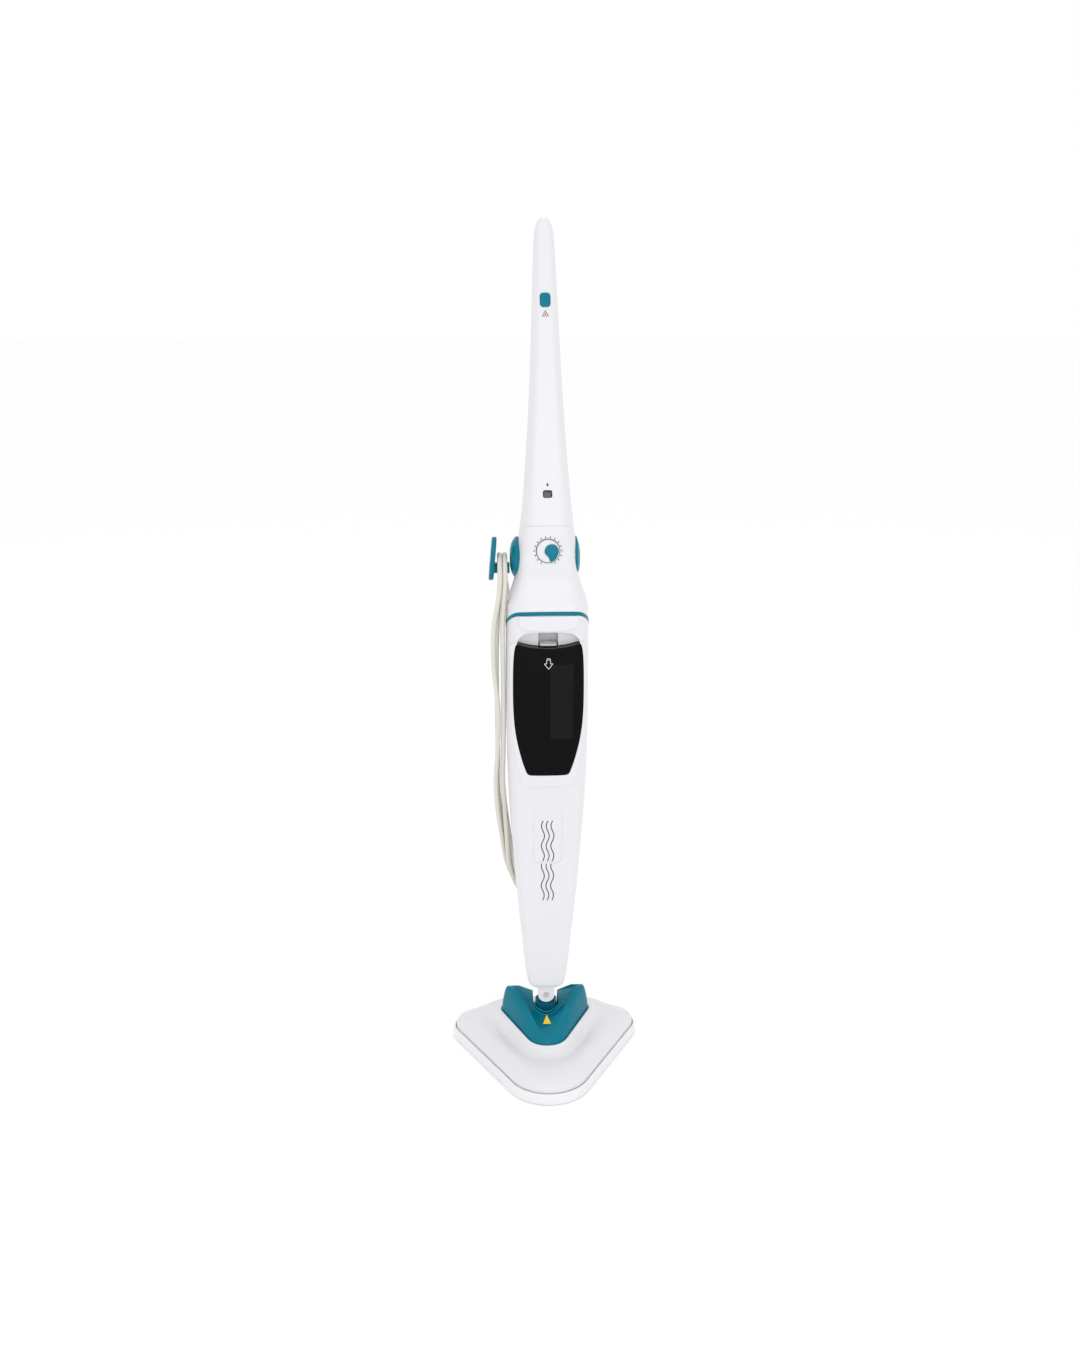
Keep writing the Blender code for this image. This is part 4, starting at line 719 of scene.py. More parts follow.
INK = moulded("pad_print_grey", (0.030, 0.032, 0.037), 0.45, 0.05, 900.0, 0.05)
INK_LIGHT = moulded("pad_print_white", (0.80, 0.82, 0.84), 0.45, 0.05, 900.0, 0.04)
INK_TEAL = moulded("pad_print_teal", (0.010, 0.150, 0.215), 0.40, 0.05, 900.0, 0.05)
INK_YELLOW = moulded("pad_print_yellow", (0.78, 0.52, 0.02), 0.42, 0.05, 900.0, 0.05)


def smoke_material():
    m, nt, b = shader("smoked_san")
    tc = nt.nodes.new("ShaderNodeTexCoord")
    sep = nt.nodes.new("ShaderNodeSeparateXYZ")
    nt.links.new(tc.outputs["Object"], sep.inputs["Vector"])

    def inside(sock, mid, half, soft):
        d = nt.nodes.new("ShaderNodeMath")
        d.operation = "SUBTRACT"
        d.inputs[1].default_value = mid
        nt.links.new(sock, d.inputs[0])
        a = nt.nodes.new("ShaderNodeMath")
        a.operation = "ABSOLUTE"
        nt.links.new(d.outputs[0], a.inputs[0])
        r = nt.nodes.new("ShaderNodeMapRange")
        r.inputs["From Min"].default_value = half
        r.inputs["From Max"].default_value = half + soft
        r.inputs["To Min"].default_value = 1.0
        r.inputs["To Max"].default_value = 0.0
        nt.links.new(a.outputs[0], r.inputs["Value"])
        return r.outputs["Result"]

    # painted reflection: a lighter vertical band right of centre on the tank front, mottled by noise, put into the base
    # colour
    mul = nt.nodes.new("ShaderNodeMath")
    mul.operation = "MULTIPLY"
    nt.links.new(inside(sep.outputs["X"], 0.0185, 0.0155, 0.0008), mul.inputs[0])
    nt.links.new(inside(sep.outputs["Z"], 0.5850, 0.0540, 0.0008), mul.inputs[1])
    n = link_noise(nt, 30.0, 2.0)
    lift = ranged(nt, n.outputs["Fac"], 0.75, 1.0)
    painted_reflection = nt.nodes.new("ShaderNodeMath")
    painted_reflection.operation = "MULTIPLY"
    nt.links.new(mul.outputs[0], painted_reflection.inputs[0])
    nt.links.new(lift.outputs["Result"], painted_reflection.inputs[1])
    col = ramp(nt, painted_reflection.outputs[0], [(0.0, (0.0022, 0.0022, 0.0026)), (1.0, (0.0085, 0.0080, 0.0085))])
    nt.links.new(col.outputs["Color"], b.inputs["Base Color"])
    wipe = link_noise(nt, 60.0, 3.0)
    nt.links.new(ranged(nt, wipe.outputs["Fac"], 0.05, 0.10).outputs["Result"], b.inputs["Roughness"])
    b.inputs["Coat Weight"].default_value = 0.0
    b.inputs["Specular IOR Level"].default_value = 0.10
    b.inputs["IOR"].default_value = 1.42
    m.diffuse_color = (0.005, 0.005, 0.006, 1.0)
    return m


SMOKE = smoke_material()


def cloth_material():
    m, nt, b = shader("microfibre")
    pile = link_noise(nt, 900.0, 4.0, 0.7)
    tc = nt.nodes.new("ShaderNodeTexCoord")
    v = nt.nodes.new("ShaderNodeTexVoronoi")
    v.inputs["Scale"].default_value = 620.0
    nt.links.new(tc.outputs["Object"], v.inputs["Vector"])
    mix = nt.nodes.new("ShaderNodeMath")
    mix.operation = "ADD"
    nt.links.new(pile.outputs["Fac"], mix.inputs[0])
    nt.links.new(v.outputs["Distance"], mix.inputs[1])
    col = ramp(nt, mix.outputs[0], [(0.35, (0.58, 0.60, 0.64)), (0.9, (0.82, 0.83, 0.85))])
    nt.links.new(col.outputs["Color"], b.inputs["Base Color"])
    bumped(nt, b, mix.outputs[0], 0.7, 0.0008)
    b.inputs["Roughness"].default_value = 0.92
    b.inputs["Sheen Weight"].default_value = 0.5
    b.inputs["Sheen Roughness"].default_value = 0.5
    m.diffuse_color = (0.78, 0.80, 0.84, 1.0)
    return m


CLOTH = cloth_material()


def show(ob, mat, body, nodes=(), angle=38.0, shift=True):
    """Give a piece its finish, shade it, move it into the row frame and let it ride on its body."""
    ob.data.materials.clear()
    ob.data.materials.append(mat)
    if ob.type == "MESH":
        ob.data.polygons.foreach_set("use_smooth", [True] * len(ob.data.polygons))
        ob.data.set_sharp_from_angle(angle=math.radians(angle))
        ob.data.update()
    if shift:
        ob.location = (0.0, Y_SHIFT, 0.0)
        bpy.context.view_layer.update()
        if ob.type == "MESH":
            ob.data.transform(Matrix.Translation((0.0, Y_SHIFT, 0.0)))
            ob.location = (0.0, 0.0, 0.0)
    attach(ob, body)
    if nodes:
        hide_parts(*nodes)
    return ob


# ---------------------------------------------------------------- supply cord, wound on its two hooks
LH_X = -0.0040
LH_Z = 0.2130
GLAND = (0.0240, 0.3350)
gy = 0.0378
R_FOLD = 0.0249
TOPC = Vector((-0.0612, 0.0, 0.7507))
LOWC = Vector((LH_X, 0.0605, 0.2248))
SIDE_RUN = [(-0.0345, 0.0560, 0.2440), (-0.0440, 0.0450, 0.2700), (-0.0530, 0.0300, 0.3050), (-0.0590, 0.0150, 0.3550), (-0.0640, 0.0020, 0.4050),
            (-0.0668, -0.0060, 0.4500), (-0.0660, -0.0125, 0.4950), (-0.0650, -0.0185, 0.5600), (-0.0652, -0.0235, 0.6300), (-0.0652, -0.0258, 0.6850), (-0.0630, -0.0256, 0.7250)]
BACK_RUN = [(-0.0570, 0.0380, 0.7180), (-0.0495, 0.0540, 0.6700), (-0.0400, 0.0620, 0.6000), (-0.0290, 0.0635, 0.5200), (-0.0150, 0.0625, 0.4300),
            (0.0000, 0.0610, 0.3500), (0.0130, 0.0605, 0.2950), (0.0190, 0.0605, 0.2600)]


def ease(t):
    t = min(max(t, 0.0), 1.0)
    return t * t * (3 - 2 * t)


def loop_stations():
    """Centre line of the winding with its across and outward directions, from the right of the lower post round to it again."""
    st = []
    for i in range(12):
        a = math.radians(180 - 15 * i)
        out = Vector((-math.cos(a), 0, -math.sin(a)))
        st.append((LOWC + out * R_FOLD, Vector((0, -1, 0)), out, -1.0, 0.0))
    for p in SIDE_RUN:
        t = (p[2] - LOWC.z) / (TOPC.z - LOWC.z)
        a = math.radians(-180 + 90 * ease(t / 0.40))
        out = Vector((math.cos(a), math.sin(a), 0))
        st.append((Vector(p), Vector((math.cos(a + math.pi / 2), math.sin(a + math.pi / 2), 0)), out, t, 0.0))
    for i in range(13):
        a = math.radians(15 * i)
        out = Vector((0, -math.cos(a), math.sin(a)))
        st.append((TOPC + out * R_FOLD, Vector((1, 0, 0)), out, -1.0, 0.0))
    for p in BACK_RUN:
        t = (TOPC.z - p[2]) / (TOPC.z - LOWC.z)
        a = math.radians(90 - 90 * ease((t - 0.2) / 0.7))
        out = Vector((math.cos(a), math.sin(a), 0))
        st.append((Vector(p), Vector((math.cos(a - math.pi / 2), math.sin(a - math.pi / 2), 0)), out, -1.0, ease((t - 0.12) / 0.70)))
    return st


STATIONS = loop_stations()
OFF_R = 0.00495


def strand_point(k, i):
    c, across, out, run, turn = STATIONS[i]
    th = math.radians(135 + 90 * (k + turn))
    r = OFF_R
    bow = Vector((0, 0, 0))
    if run >= 0:
        r *= 1.0 + 0.10 * math.sin(math.pi * min(max(run, 0), 1))
        if k == 0:
            bow += Vector((-0.0082, -0.0008, 0)) * math.exp(-((c.z - 0.655) / 0.042) ** 2)
            bow += Vector((-0.0030, -0.0012, 0)) * math.exp(-((c.z - 0.420) / 0.060) ** 2)
        if k == 1:
            bow += Vector((-0.0022, 0.0024, 0)) * math.exp(-((c.z - 0.600) / 0.060) ** 2)
        if k == 3:
            bow += Vector((0.0, -0.0030, 0)) * math.exp(-((c.z - 0.360) / 0.060) ** 2)
    elif turn > 0:
        bow += Vector((0, 0.0010, 0)) * math.sin(3.1 * k + 40 * c.z)
    return c + across * (r * math.cos(th)) + out * (r * math.sin(th)) + bow


route = [Vector((GLAND[0], gy + 0.0232, GLAND[1])), Vector((GLAND[0], gy + 0.0290, GLAND[1] - 0.0006)), Vector((GLAND[0] + 0.0002, gy + 0.0400, GLAND[1] - 0.0055)),
         Vector((GLAND[0] + 0.0006, gy + 0.0490, GLAND[1] - 0.0160)), Vector((GLAND[0] + 0.0010, gy + 0.0515, GLAND[1] - 0.0310)),
         Vector((GLAND[0] + 0.0012, 0.0860, 0.2860)), Vector((GLAND[0] + 0.0010, 0.0770, 0.2640)), Vector((GLAND[0] + 0.0008, 0.0680, 0.2430))]
for k in range(4):
    for i in range(len(STATIONS)):
        p = strand_point(k, i)
        if k == 3 and i > len(STATIONS) - 6:
            break
        route.append(p)
PLUG_X = 0.0110
PLUG_Y = 0.0640
route += [Vector((-0.0205, 0.0735, 0.5550)), Vector((-0.0040, 0.0748, 0.5180)), Vector((0.0070, 0.0705, 0.4900)), Vector((0.0108, 0.0658, 0.4720)), Vector((PLUG_X, PLUG_Y, 0.4606))]


def resample(pts, step):
    v = [Vector(p) for p in pts]
    n = len(v)
    dense = []
    for i in range(n - 1):
        p1, p2 = v[i], v[i + 1]
        p0 = v[i - 1] if i else p1 * 2 - p2
        p3 = v[i + 2] if i + 2 < n else p2 * 2 - p1
        d0 = max((p1 - p0).length, 1e-7) ** 0.5
        d1 = max((p2 - p1).length, 1e-7) ** 0.5
        d2 = max((p3 - p2).length, 1e-7) ** 0.5
        m1 = ((p1 - p0) / d0 - (p2 - p0) / (d0 + d1) + (p2 - p1) / d1) * d1
        m2 = ((p2 - p1) / d1 - (p3 - p1) / (d1 + d2) + (p3 - p2) / d2) * d1
        for j in range(16):
            t = j / 16
            t2, t3 = t * t, t * t * t
            dense.append((2 * t3 - 3 * t2 + 1) * p1 + (t3 - 2 * t2 + t) * m1 + (-2 * t3 + 3 * t2) * p2 + (t3 - t2) * m2)
    dense.append(v[-1])
    acc = [0.0]
    for a, b in zip(dense, dense[1:]):
        acc.append(acc[-1] + (b - a).length)
    m = max(2, int(round(acc[-1] / step)))
    out = []
    k = 0
    for i in range(m + 1):
        s = acc[-1] * i / m
        while k < len(acc) - 2 and acc[k + 1] < s:
            k += 1
        out.append(dense[k].lerp(dense[k + 1], (s - acc[k]) / max(acc[k + 1] - acc[k], 1e-9)))
    return out, acc[-1]


line, cord_length = resample(route, 0.0055)
cu = bpy.data.curves.new("supply_cord", "CURVE")
cu.dimensions = "3D"
sp = cu.splines.new("POLY")
sp.points.add(len(line) - 1)
for p, q in zip(sp.points, line):
    p.co = (q.x, q.y + Y_SHIFT, q.z, 1.0)
sp.use_smooth = True
cu.bevel_depth = CORD_D / 2
cu.bevel_resolution = 5
cu.use_fill_caps = True
flex = bpy.data.objects.new("supply_cord", cu)
COLL.objects.link(flex)
flex.data.materials.append(CORD)
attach(flex, "main_body")
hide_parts("cord_hank", "cord_lead")

# plug: rounded moulding with finger grips, a ribbed sleeve and two round pins
PZ = 0.8525
body_rows = [(0.4606, 0.0082, 0.0082, 0.0040), (0.4588, 0.0096, 0.0094, 0.0046), (0.4570, 0.0082, 0.0082, 0.0040), (0.4552, 0.0100, 0.0096, 0.0047),
             (0.4534, 0.0086, 0.0086, 0.0042), (0.4516, 0.0106, 0.0100, 0.0049), (0.4498, 0.0092, 0.0090, 0.0044), (0.4478, 0.0112, 0.0104, 0.0050),
             (0.4455, 0.0128, 0.0110, 0.0054), (0.4430, 0.0200, 0.0126, 0.0060), (0.4405, 0.0232, 0.0132, 0.0063), (0.4380, 0.0226, 0.0126, 0.0060),
             (0.4362, 0.0240, 0.0136, 0.0064), (0.4342, 0.0230, 0.0128, 0.0061), (0.4322, 0.0246, 0.0140, 0.0066), (0.4302, 0.0236, 0.0132, 0.0063),
             (0.4282, 0.0252, 0.0143, 0.0067), (0.4250, 0.0258, 0.0145, 0.0067), (0.4190, 0.0256, 0.0143, 0.0066), (0.4130, 0.0250, 0.0140, 0.0064),
             (0.4110, 0.0240, 0.0132, 0.0062), (0.4105, 0.0226, 0.0120, 0.0058)]
rings = [[Vector((x, y, z)) for x, y in rounded_rect(PLUG_X, PLUG_Y, w, d, r, 6)] for z, w, d, r in body_rows]
plug = loft("plug_body", smooth_rings(rings, 3))
show(plug, CORD, "main_body", ("mains_plug",), 60)
pins = None
for px in (-0.0065, 0.0065):
    sleeve = turned("plug_sleeves", [(0.0, 0.4020), (0.00185, 0.4020), (0.0020, 0.4024), (0.0020, 0.4110), (0.0, 0.4110)], (PLUG_X + px, PLUG_Y, 0), steps=28)
    tip = turned("plug_pins", [(0.0, 0.3920), (0.0009, 0.3921), (0.0016, 0.3927), (0.0021, 0.3942), (0.0021, 0.4019), (0.0, 0.4019)], (PLUG_X + px, PLUG_Y, 0), steps=28)
    sleeve.name = "plug_sleeve_left" if px < 0 else "plug_sleeve_right"
    tip.name = "plug_pin_left" if px < 0 else "plug_pin_right"
    show(sleeve, BLACK, "main_body", (), 50)
    show(tip, BRASS, "main_body", (), 50)
    sleeve.parent = plug
    sleeve.matrix_parent_inverse = Matrix.Identity(4)
    tip.parent = plug
    tip.matrix_parent_inverse = Matrix.Identity(4)

# strain relief: ribbed, tapered sleeve in a round bush
prof = [(0.0, 0.0205), (0.0070, 0.0205), (0.0070, 0.0242), (0.0049, 0.0244), (0.0049, gy + GAP), (0.0080, gy + GAP), (0.0080, gy + 0.0016), (0.0074, gy + 0.0026), (0.0060, gy + 0.0030)]
for i in range(8):
    y0 = gy + 0.0036 + 0.0024 * i
    r = 0.0058 - 0.00016 * i
    prof += [(r, y0), (r, y0 + 0.0014), (r - 0.0010, y0 + 0.0016), (r - 0.0010, y0 + 0.0022)]
prof += [(0.0039, gy + 0.0232), (0.0, gy + 0.0232)]
gl = turned("strain_relief", prof, (GLAND[0], 0, GLAND[1]), (0, 1, 0), 40)
show(gl, CORD_GREY, "main_body", ("cord_gland",), 30)

# ---------------------------------------------------------------- floor head
g = prism("glider_frame", hull_outline(HEAD, 0.0), 0.0, 0.0175)
g = bevel(g, 0.0018, 4, 40)
g = cut(g, prism("c", hull_outline(HEAD, 0.0026), 0.0026, 0.02))
g = cut(g, prism("c", hull_outline(HEAD, 0.0180), -0.01, 0.01))
show(g, FROST, "glider", ("carpet_glider",), 30)


def blend_ring(t, z_fn, off_a, off_b):
    a = hull_outline(HEAD, off_a)
    b = hull_outline(YOKE, off_b)
    out = []
    for (x0, y0), (x1, y1) in zip(a, b):
        x = x0 + (x1 - x0) * t
        y = y0 + (y1 - y0) * t
        out.append(Vector((x, y, z_fn(x, y))))
    return out


def lip(y):
    # the raised lip round the yoke is highest at the sides and rear
    k = min(max((y + 0.060) / 0.080, 0.0), 1.0)
    return 0.0455 + 0.0085 * k


def hill(x, y):
    """The cover swells towards the rear, beside and behind the yoke."""
    a = min(max((y + 0.030) / 0.060, 0.0), 1.0)
    b = min(max((0.112 - abs(x)) / 0.060, 0.0), 1.0)
    return 0.0170 * a * a * (3 - 2 * a) * b * b * (3 - 2 * b)


outer = [
    (0.00, lambda x, y: 0.0165, 0.0044, 0.0),
    (0.00, lambda x, y: 0.0215, 0.0044, 0.0),
    (0.00, lambda x, y: 0.0262, 0.0058, 0.0),
    (0.00, lambda x, y: 0.0298, 0.0105, 0.0),
    (0.20, lambda x, y: 0.0340 + 0.50 * hill(x, y), 0.0105, -0.0160),
    (0.45, lambda x, y: 0.0366 + 0.85 * hill(x, y), 0.0105, -0.0160),
    (0.72, lambda x, y: 0.0362 + 0.95 * hill(x, y), 0.0105, -0.0160),
    (0.94, lambda x, y: 0.0346 + 1.00 * hill(x, y), 0.0105, -0.0160),
    (1.00, lambda x, y: 0.0362 + 0.98 * hill(x, y), 0.0105, -0.0120),
    (1.00, lambda x, y: 0.6 * lip(y) + 0.4 * (0.0362 + 0.98 * hill(x, y)), 0.0105, -0.0080),
    (1.00, lambda x, y: lip(y) - 0.0006, 0.0105, -0.0045),
    (1.00, lambda x, y: lip(y), 0.0105, -0.0028),
    (1.00, lambda x, y: lip(y) - 0.0015, 0.0105, -0.0012),
    (1.00, lambda x, y: lip(y) - 0.0080, 0.0105, -0.0010),
]
inner = [
    (1.00, lambda x, y: lip(y) - 0.0082, 0.0105, -0.0034),
    (1.00, lambda x, y: 0.0334 + 0.60 * hill(x, y), 0.0105, -0.0100),
    (0.90, lambda x, y: 0.0318 + 0.95 * hill(x, y), 0.0125, -0.0150),
    (0.45, lambda x, y: 0.0338 + 0.80 * hill(x, y), 0.0125, -0.0150),
    (0.20, lambda x, y: 0.0312 + 0.45 * hill(x, y), 0.0125, -0.0150),
    (0.00, lambda x, y: 0.0268, 0.0125, 0.0),
    (0.00, lambda x, y: 0.0232, 0.0074, 0.0),
    (0.00, lambda x, y: 0.0165, 0.0070, 0.0),
]

rings = [blend_ring(*r) for r in outer + inner]
cover = loft("head_shell", smooth_rings(rings, 4, True), ring_closed=True)
show(cover, WHITE, "head", ("head_top_cover",), 50)


def yoke_top(x, y):
    rise = min(max((y + 0.060) / 0.058, 0.0), 1.0)
    rise = rise * rise * (3 - 2 * rise)
    fall = min(max((y - 0.022) / 0.022, 0.0), 1.0)
    ear = min(max((abs(x) - 0.020) / 0.020, 0.0), 1.0)
    ear = ear * ear * (3 - 2 * ear)
    back = min(max((y + 0.010) / 0.025, 0.0), 1.0)
    return 0.0530 + 0.0325 * rise - 0.012 * fall * fall + 0.0085 * ear * back


def yoke_ring(off, lift, frac):
    out = []
    for x, y in hull_outline(YOKE, off):
        top = yoke_top(x, y)
        low = lip(y) - 0.0075
        out.append(Vector((x, y, low + (top - low) * frac + lift)))
    return out

yr = [yoke_ring(0.0, 0.0, 0.0), yoke_ring(0.0, 0.0, 0.30), yoke_ring(0.0012, 0.0, 0.52), yoke_ring(0.0030, 0.0, 0.72), yoke_ring(0.0044, 0.0, 0.85), yoke_ring(0.0062, 0.0, 0.95),
      yoke_ring(0.0085, 0.0, 1.0), yoke_ring(0.0125, 0.0, 1.0), yoke_ring(0.0145, 0.0, 1.0)]
yoke = loft("yoke_shell", smooth_rings(yr, 4))
yi = [yoke_ring(0.0024, -0.0030, 0.0), yoke_ring(0.0026, -0.0005, 0.25), yoke_ring(0.0058, -0.0015, 0.66), yoke_ring(0.0088, -0.0022, 0.91),
      yoke_ring(0.0120, -0.0026, 0.96), yoke_ring(0.0145, -0.0026, 0.97)]
yoke = cut(yoke, loft("c", yi))
SLOT = [(0.0190, 0.0750), (-0.0190, 0.0750), (-0.0190, -0.0045), (-0.0172, -0.0100), (-0.0126, -0.0150), (-0.0060, -0.0184), (0.0, -0.0198),
        (0.0060, -0.0184), (0.0126, -0.0150), (0.0172, -0.0100), (0.0190, -0.0045)]

yoke = cut(yoke, prism("c", SLOT, 0.03, 0.12))
show(yoke, TEAL, "head", ("yoke_cover",), 40)


def slot_path(off, n):
    pts = offset_outline(SLOT, off)
    half = [p for p in pts if p[1] < 0.030]
    half.sort(key=lambda p: math.atan2(p[0], -(p[1] - 0.03)))
    v = smooth_path([Vector((p[0], p[1], 0)) for p in half], n)
    return v


for nm, off, rad in (("yoke_bead_inner", 0.0022, 0.0011), ("yoke_bead_outer", 0.0054, 0.0010)):
    v = [Vector((p.x, p.y, yoke_top(p.x, p.y) + 0.0001)) for p in slot_path(off, 60) if p.y < 0.012]
    show(tube(nm, v, rad, 4), TEAL, "head", (), 60)

# neck collar and knuckle, same sizes as the working parts with a finer turning
kn = turned("neck_block", [(0.0, -0.0155), (0.0105, -0.0155), (0.0112, -0.0148), (0.0112, 0.0148), (0.0105, 0.0155), (0.0, 0.0155)], (0, 0, PITCH_Z), (1, 0, 0), 64)
kn = add(kn, loft("c", [[Vector((x, y, z)) for x, y in rounded_rect(0, 0, w, d, 0.006, 8)]
                        for z, w, d in ((0.0520, 0.0300, 0.0200), (0.0680, 0.0310, 0.0225), (0.0810, 0.0320, 0.0235), (0.0865, 0.0310, 0.0235))]))
arc = [(-0.0130, 0.0840), (0.0130, 0.0840)] + [(0.0098 * math.cos(math.radians(a)), ROLL_Z + 0.0098 * math.sin(math.radians(a))) for a in range(0, 181, 12)]
kn = add(kn, prism("c", arc, -0.0058, 0.0058, "Y"))
kn = cut(kn, turned("c", [(0.0, -0.03), (0.0035, -0.03), (0.0035, 0.03), (0.0, 0.03)], (0, 0, PITCH_Z), (1, 0, 0), 32))
kn = cut(kn, turned("c", [(0.0, -0.03), (0.0030, -0.03), (0.0030, 0.03), (0.0, 0.03)], (0, 0, ROLL_Z), (0, 1, 0), 32))
show(kn, TEAL_DEEP, "knuckle", ("neck_knuckle",), 35)
col = turned("neck_ring", [(0.0, 0.1120), (0.0152, 0.1120), (0.0164, 0.1124), (0.0170, 0.1132), (0.0170, 0.1160), (0.0, 0.1160)], (0, 0, 0), steps=64)
for side in (-1, 1):
    arc = [(-0.0122, ROLL_Z + 0.013)] + [(-0.0122 * math.cos(math.radians(a)), ROLL_Z - 0.0122 * math.sin(math.radians(a))) for a in range(0, 181, 12)] + [(0.0122, ROLL_Z + 0.013)]
    col = add(col, prism("c", arc, side * 0.0062, side * 0.0134, "Y"))
col = cut(col, turned("c", [(0.0, -0.03), (0.0030, -0.03), (0.0030, 0.03), (0.0, 0.03)], (0, 0, ROLL_Z), (0, 1, 0), 32))
show(col, WHITE_SATIN, "main_body", ("neck_collar",), 35)

# ---------------------------------------------------------------- body shells
tank_line = mirror_outline(TANK)
bay_line = offset_outline(tank_line, 0.0006)
bay_wall = offset_outline(tank_line, 0.0030)
bezel_line = offset_outline(tank_line, 0.0062)
recess_line = mirror_outline([(0.0, 0.6500), (0.0440, 0.6500), (0.0440, 0.6640), (0.0432, 0.6700), (0.0405, 0.6760), (0.0350, 0.6812), (0.0280, 0.6838), (0.0, 0.6848)])
recess_wall = offset_outline(recess_line, 0.0024)


def half_space(name, side, gap=GAP / 2):
    if side < 0:
        return box(name, -0.2, 0.2, -0.3, SPLIT_Y - gap, 0.0, 1.0)
    return box(name, -0.2, 0.2, SPLIT_Y + gap, 0.3, 0.0, 1.0)

tank_line = mirror_outline([(x, z) for x, z in TANK])


def round_outline(pts, times=2):
    """Corner cutting that keeps the outline closed and smooth."""
    for _ in range(times):
        out = []
        n = len(pts)
        for i in range(n):
            a, b = Vector(pts[i]), Vector(pts[(i + 1) % n])
            out += [tuple(a.lerp(b, 0.25)), tuple(a.lerp(b, 0.75))]
        pts = out
    return pts


front = cut(body_loft("front_shell"), slant("c", SEAM_Z, SEAM_SLOPE, True))
bez = body_loft("c", 0.0026, 0.44, 0.700, 28)
front = add(front, keep(bez, prism("d", round_outline(mirror_outline(BEZEL), 1), -0.2, -0.020, "Y")))
bar = body_loft("c", 0.0042, 0.67, 0.7078, 28)
BAR_FINE = [(0.0, 0.6872), (0.0120, 0.6876), (0.0240, 0.6888), (0.0330, 0.6904), (0.0375, 0.6922), (0.0396, 0.6950), (0.0402, 0.6985), (0.0402, 0.7078), (0.0, 0.7078)]
front = add(front, keep(bar, prism("d", mirror_outline(BAR_FINE), -0.2, -0.030, "Y")))
CAV_Z = [0.14, 0.20, 0.253, 0.32, 0.38, 0.43, 0.5, 0.57, 0.65, 0.70, 0.728, 0.746, 0.767, 0.80]
cav = body_loft("c", -WALL, BODY_Z0 + 0.0035, BODY_Z1 - WALL, 24, CAV_Z)
cav = cut(cav, slant("d", SEAM_Z - 0.0028, SEAM_SLOPE, True))
cav = cut(cav, prism("d", bay_wall, -0.2, BAY_BACK_Y + 0.0024, "Y"))
cav = cut(cav, box("d", -0.0160, 0.0160, -0.2, -0.0276, 0.6500, 0.6866))
cav = cut(cav, prism("d", recess_wall, -0.2, RECESS_Y + 0.0024, "Y"))
front = cut(front, cav)
front = cut(front, prism("d", round_outline(bay_line, 1), -0.2, BAY_BACK_Y, "Y"))
front = cut(front, prism("d", round_outline(recess_line, 2), -0.2, RECESS_Y, "Y"))
front = cut(front, box("d", -0.0136, 0.0136, -0.2, -0.0300, 0.6550, 0.6842))
BAND_Z0 = 0.7085
BAND_Z1 = 0.7135
BAND_MID = (BAND_Z0 + BAND_Z1) / 2
BAND_HALF = (BAND_Z1 - BAND_Z0) / 2
groove = keep(body_loft("c", 0.01, 0.62, 0.76, 28), slant_slab("d", BAND_MID, BAND_HALF + GAP, BAND_SLOPE, -0.0586))
groove = cut(groove, body_loft("d", -0.0011 - GAP, 0.61, 0.77, 28))
front = cut(front, groove)
ky = table(BODY, KNOB_Z)[1]
PANEL_TILT = math.radians(5.6)
KNOB_AXIS = (0.0, math.cos(PANEL_TILT), -math.sin(PANEL_TILT))
KNOB_C = (0.0, ky, KNOB_Z)
front = cut(front, turned("c", [(0.0, -0.03), (0.0034, -0.03), (0.0034, 0.008), (0.0, 0.008)], KNOB_C, KNOB_AXIS, 32))
front = cut(front, turned("c", [(0.0, -0.03), (0.0058, -0.03), (0.0058, 0.0), (0.0, 0.0)], (0, 0, 0.5000), (0, 1, 0), 32))
badge = body_loft("c", 0.01, 0.330, 0.428, 28)
badge = cut(badge, body_loft("d", -0.0008, 0.320, 0.440, 28))
badge = keep(badge, prism("d", rounded_rect(0, 0.378, 0.042, 0.088, 0.008, 8), -0.1, -0.02, "Y"))
front = cut(front, badge)
front = cut(front, half_space("c", 1, -GAP / 2))
show(front, WHITE, "main_body", ("front_housing",), 32)

rear = cut(body_loft("rear_shell"), slant("c", SEAM_Z, SEAM_SLOPE, True))
rcav = body_loft("c", -WALL, BODY_Z0 + 0.0035, BODY_Z1 - WALL, 24, CAV_Z)
rcav = cut(rcav, slant("d", SEAM_Z - 0.0028, SEAM_SLOPE, True))
rear = cut(rear, rcav)
rear = cut(rear, half_space("c", -1, -GAP / 2))
BODY_SCREWS = ((0.0, 0.170), (0.020, 0.440), (0.020, 0.640), (0.0, 0.7650))
for sx, sz in BODY_SCREWS:
    yb = table(BODY, sz)[2]
    rear = cut(rear, turned("c", [(0.0, 0.01), (0.0019, 0.01), (0.0019, 0.1), (0.0, 0.1)], (sx, 0, sz), (0, 1, 0), 32))
    rear = cut(rear, turned("c", [(0.0, yb - 0.0016), (0.0036, yb - 0.0016), (0.0036, 0.1), (0.0, 0.1)], (sx, 0, sz), (0, 1, 0), 32))
rear = add(rear, turned("c", [(0.0, 0.0300), (0.0092, 0.0300), (0.0089, 0.0368), (0.0084, gy), (0.0, gy)], (GLAND[0], 0, GLAND[1]), (0, 1, 0), 48))
rear = cut(rear, turned("c", [(0.0, 0.0), (0.0052, 0.0), (0.0052, 0.1), (0.0, 0.1)], (GLAND[0], 0, GLAND[1]), (0, 1, 0), 32))
show(rear, WHITE, "main_body", ("rear_housing",), 32)

band = keep(body_loft("teal_band", 0.0005, 0.62, 0.76, 28), slant_slab("d", BAND_MID, BAND_HALF, BAND_SLOPE, -0.0586))
band = cut(band, body_loft("d", -0.0011, 0.61, 0.77, 28))
band = cut(band, half_space("c", 1, -GAP / 2))
show(band, TEAL, "main_body", ("accent_band",), 40)

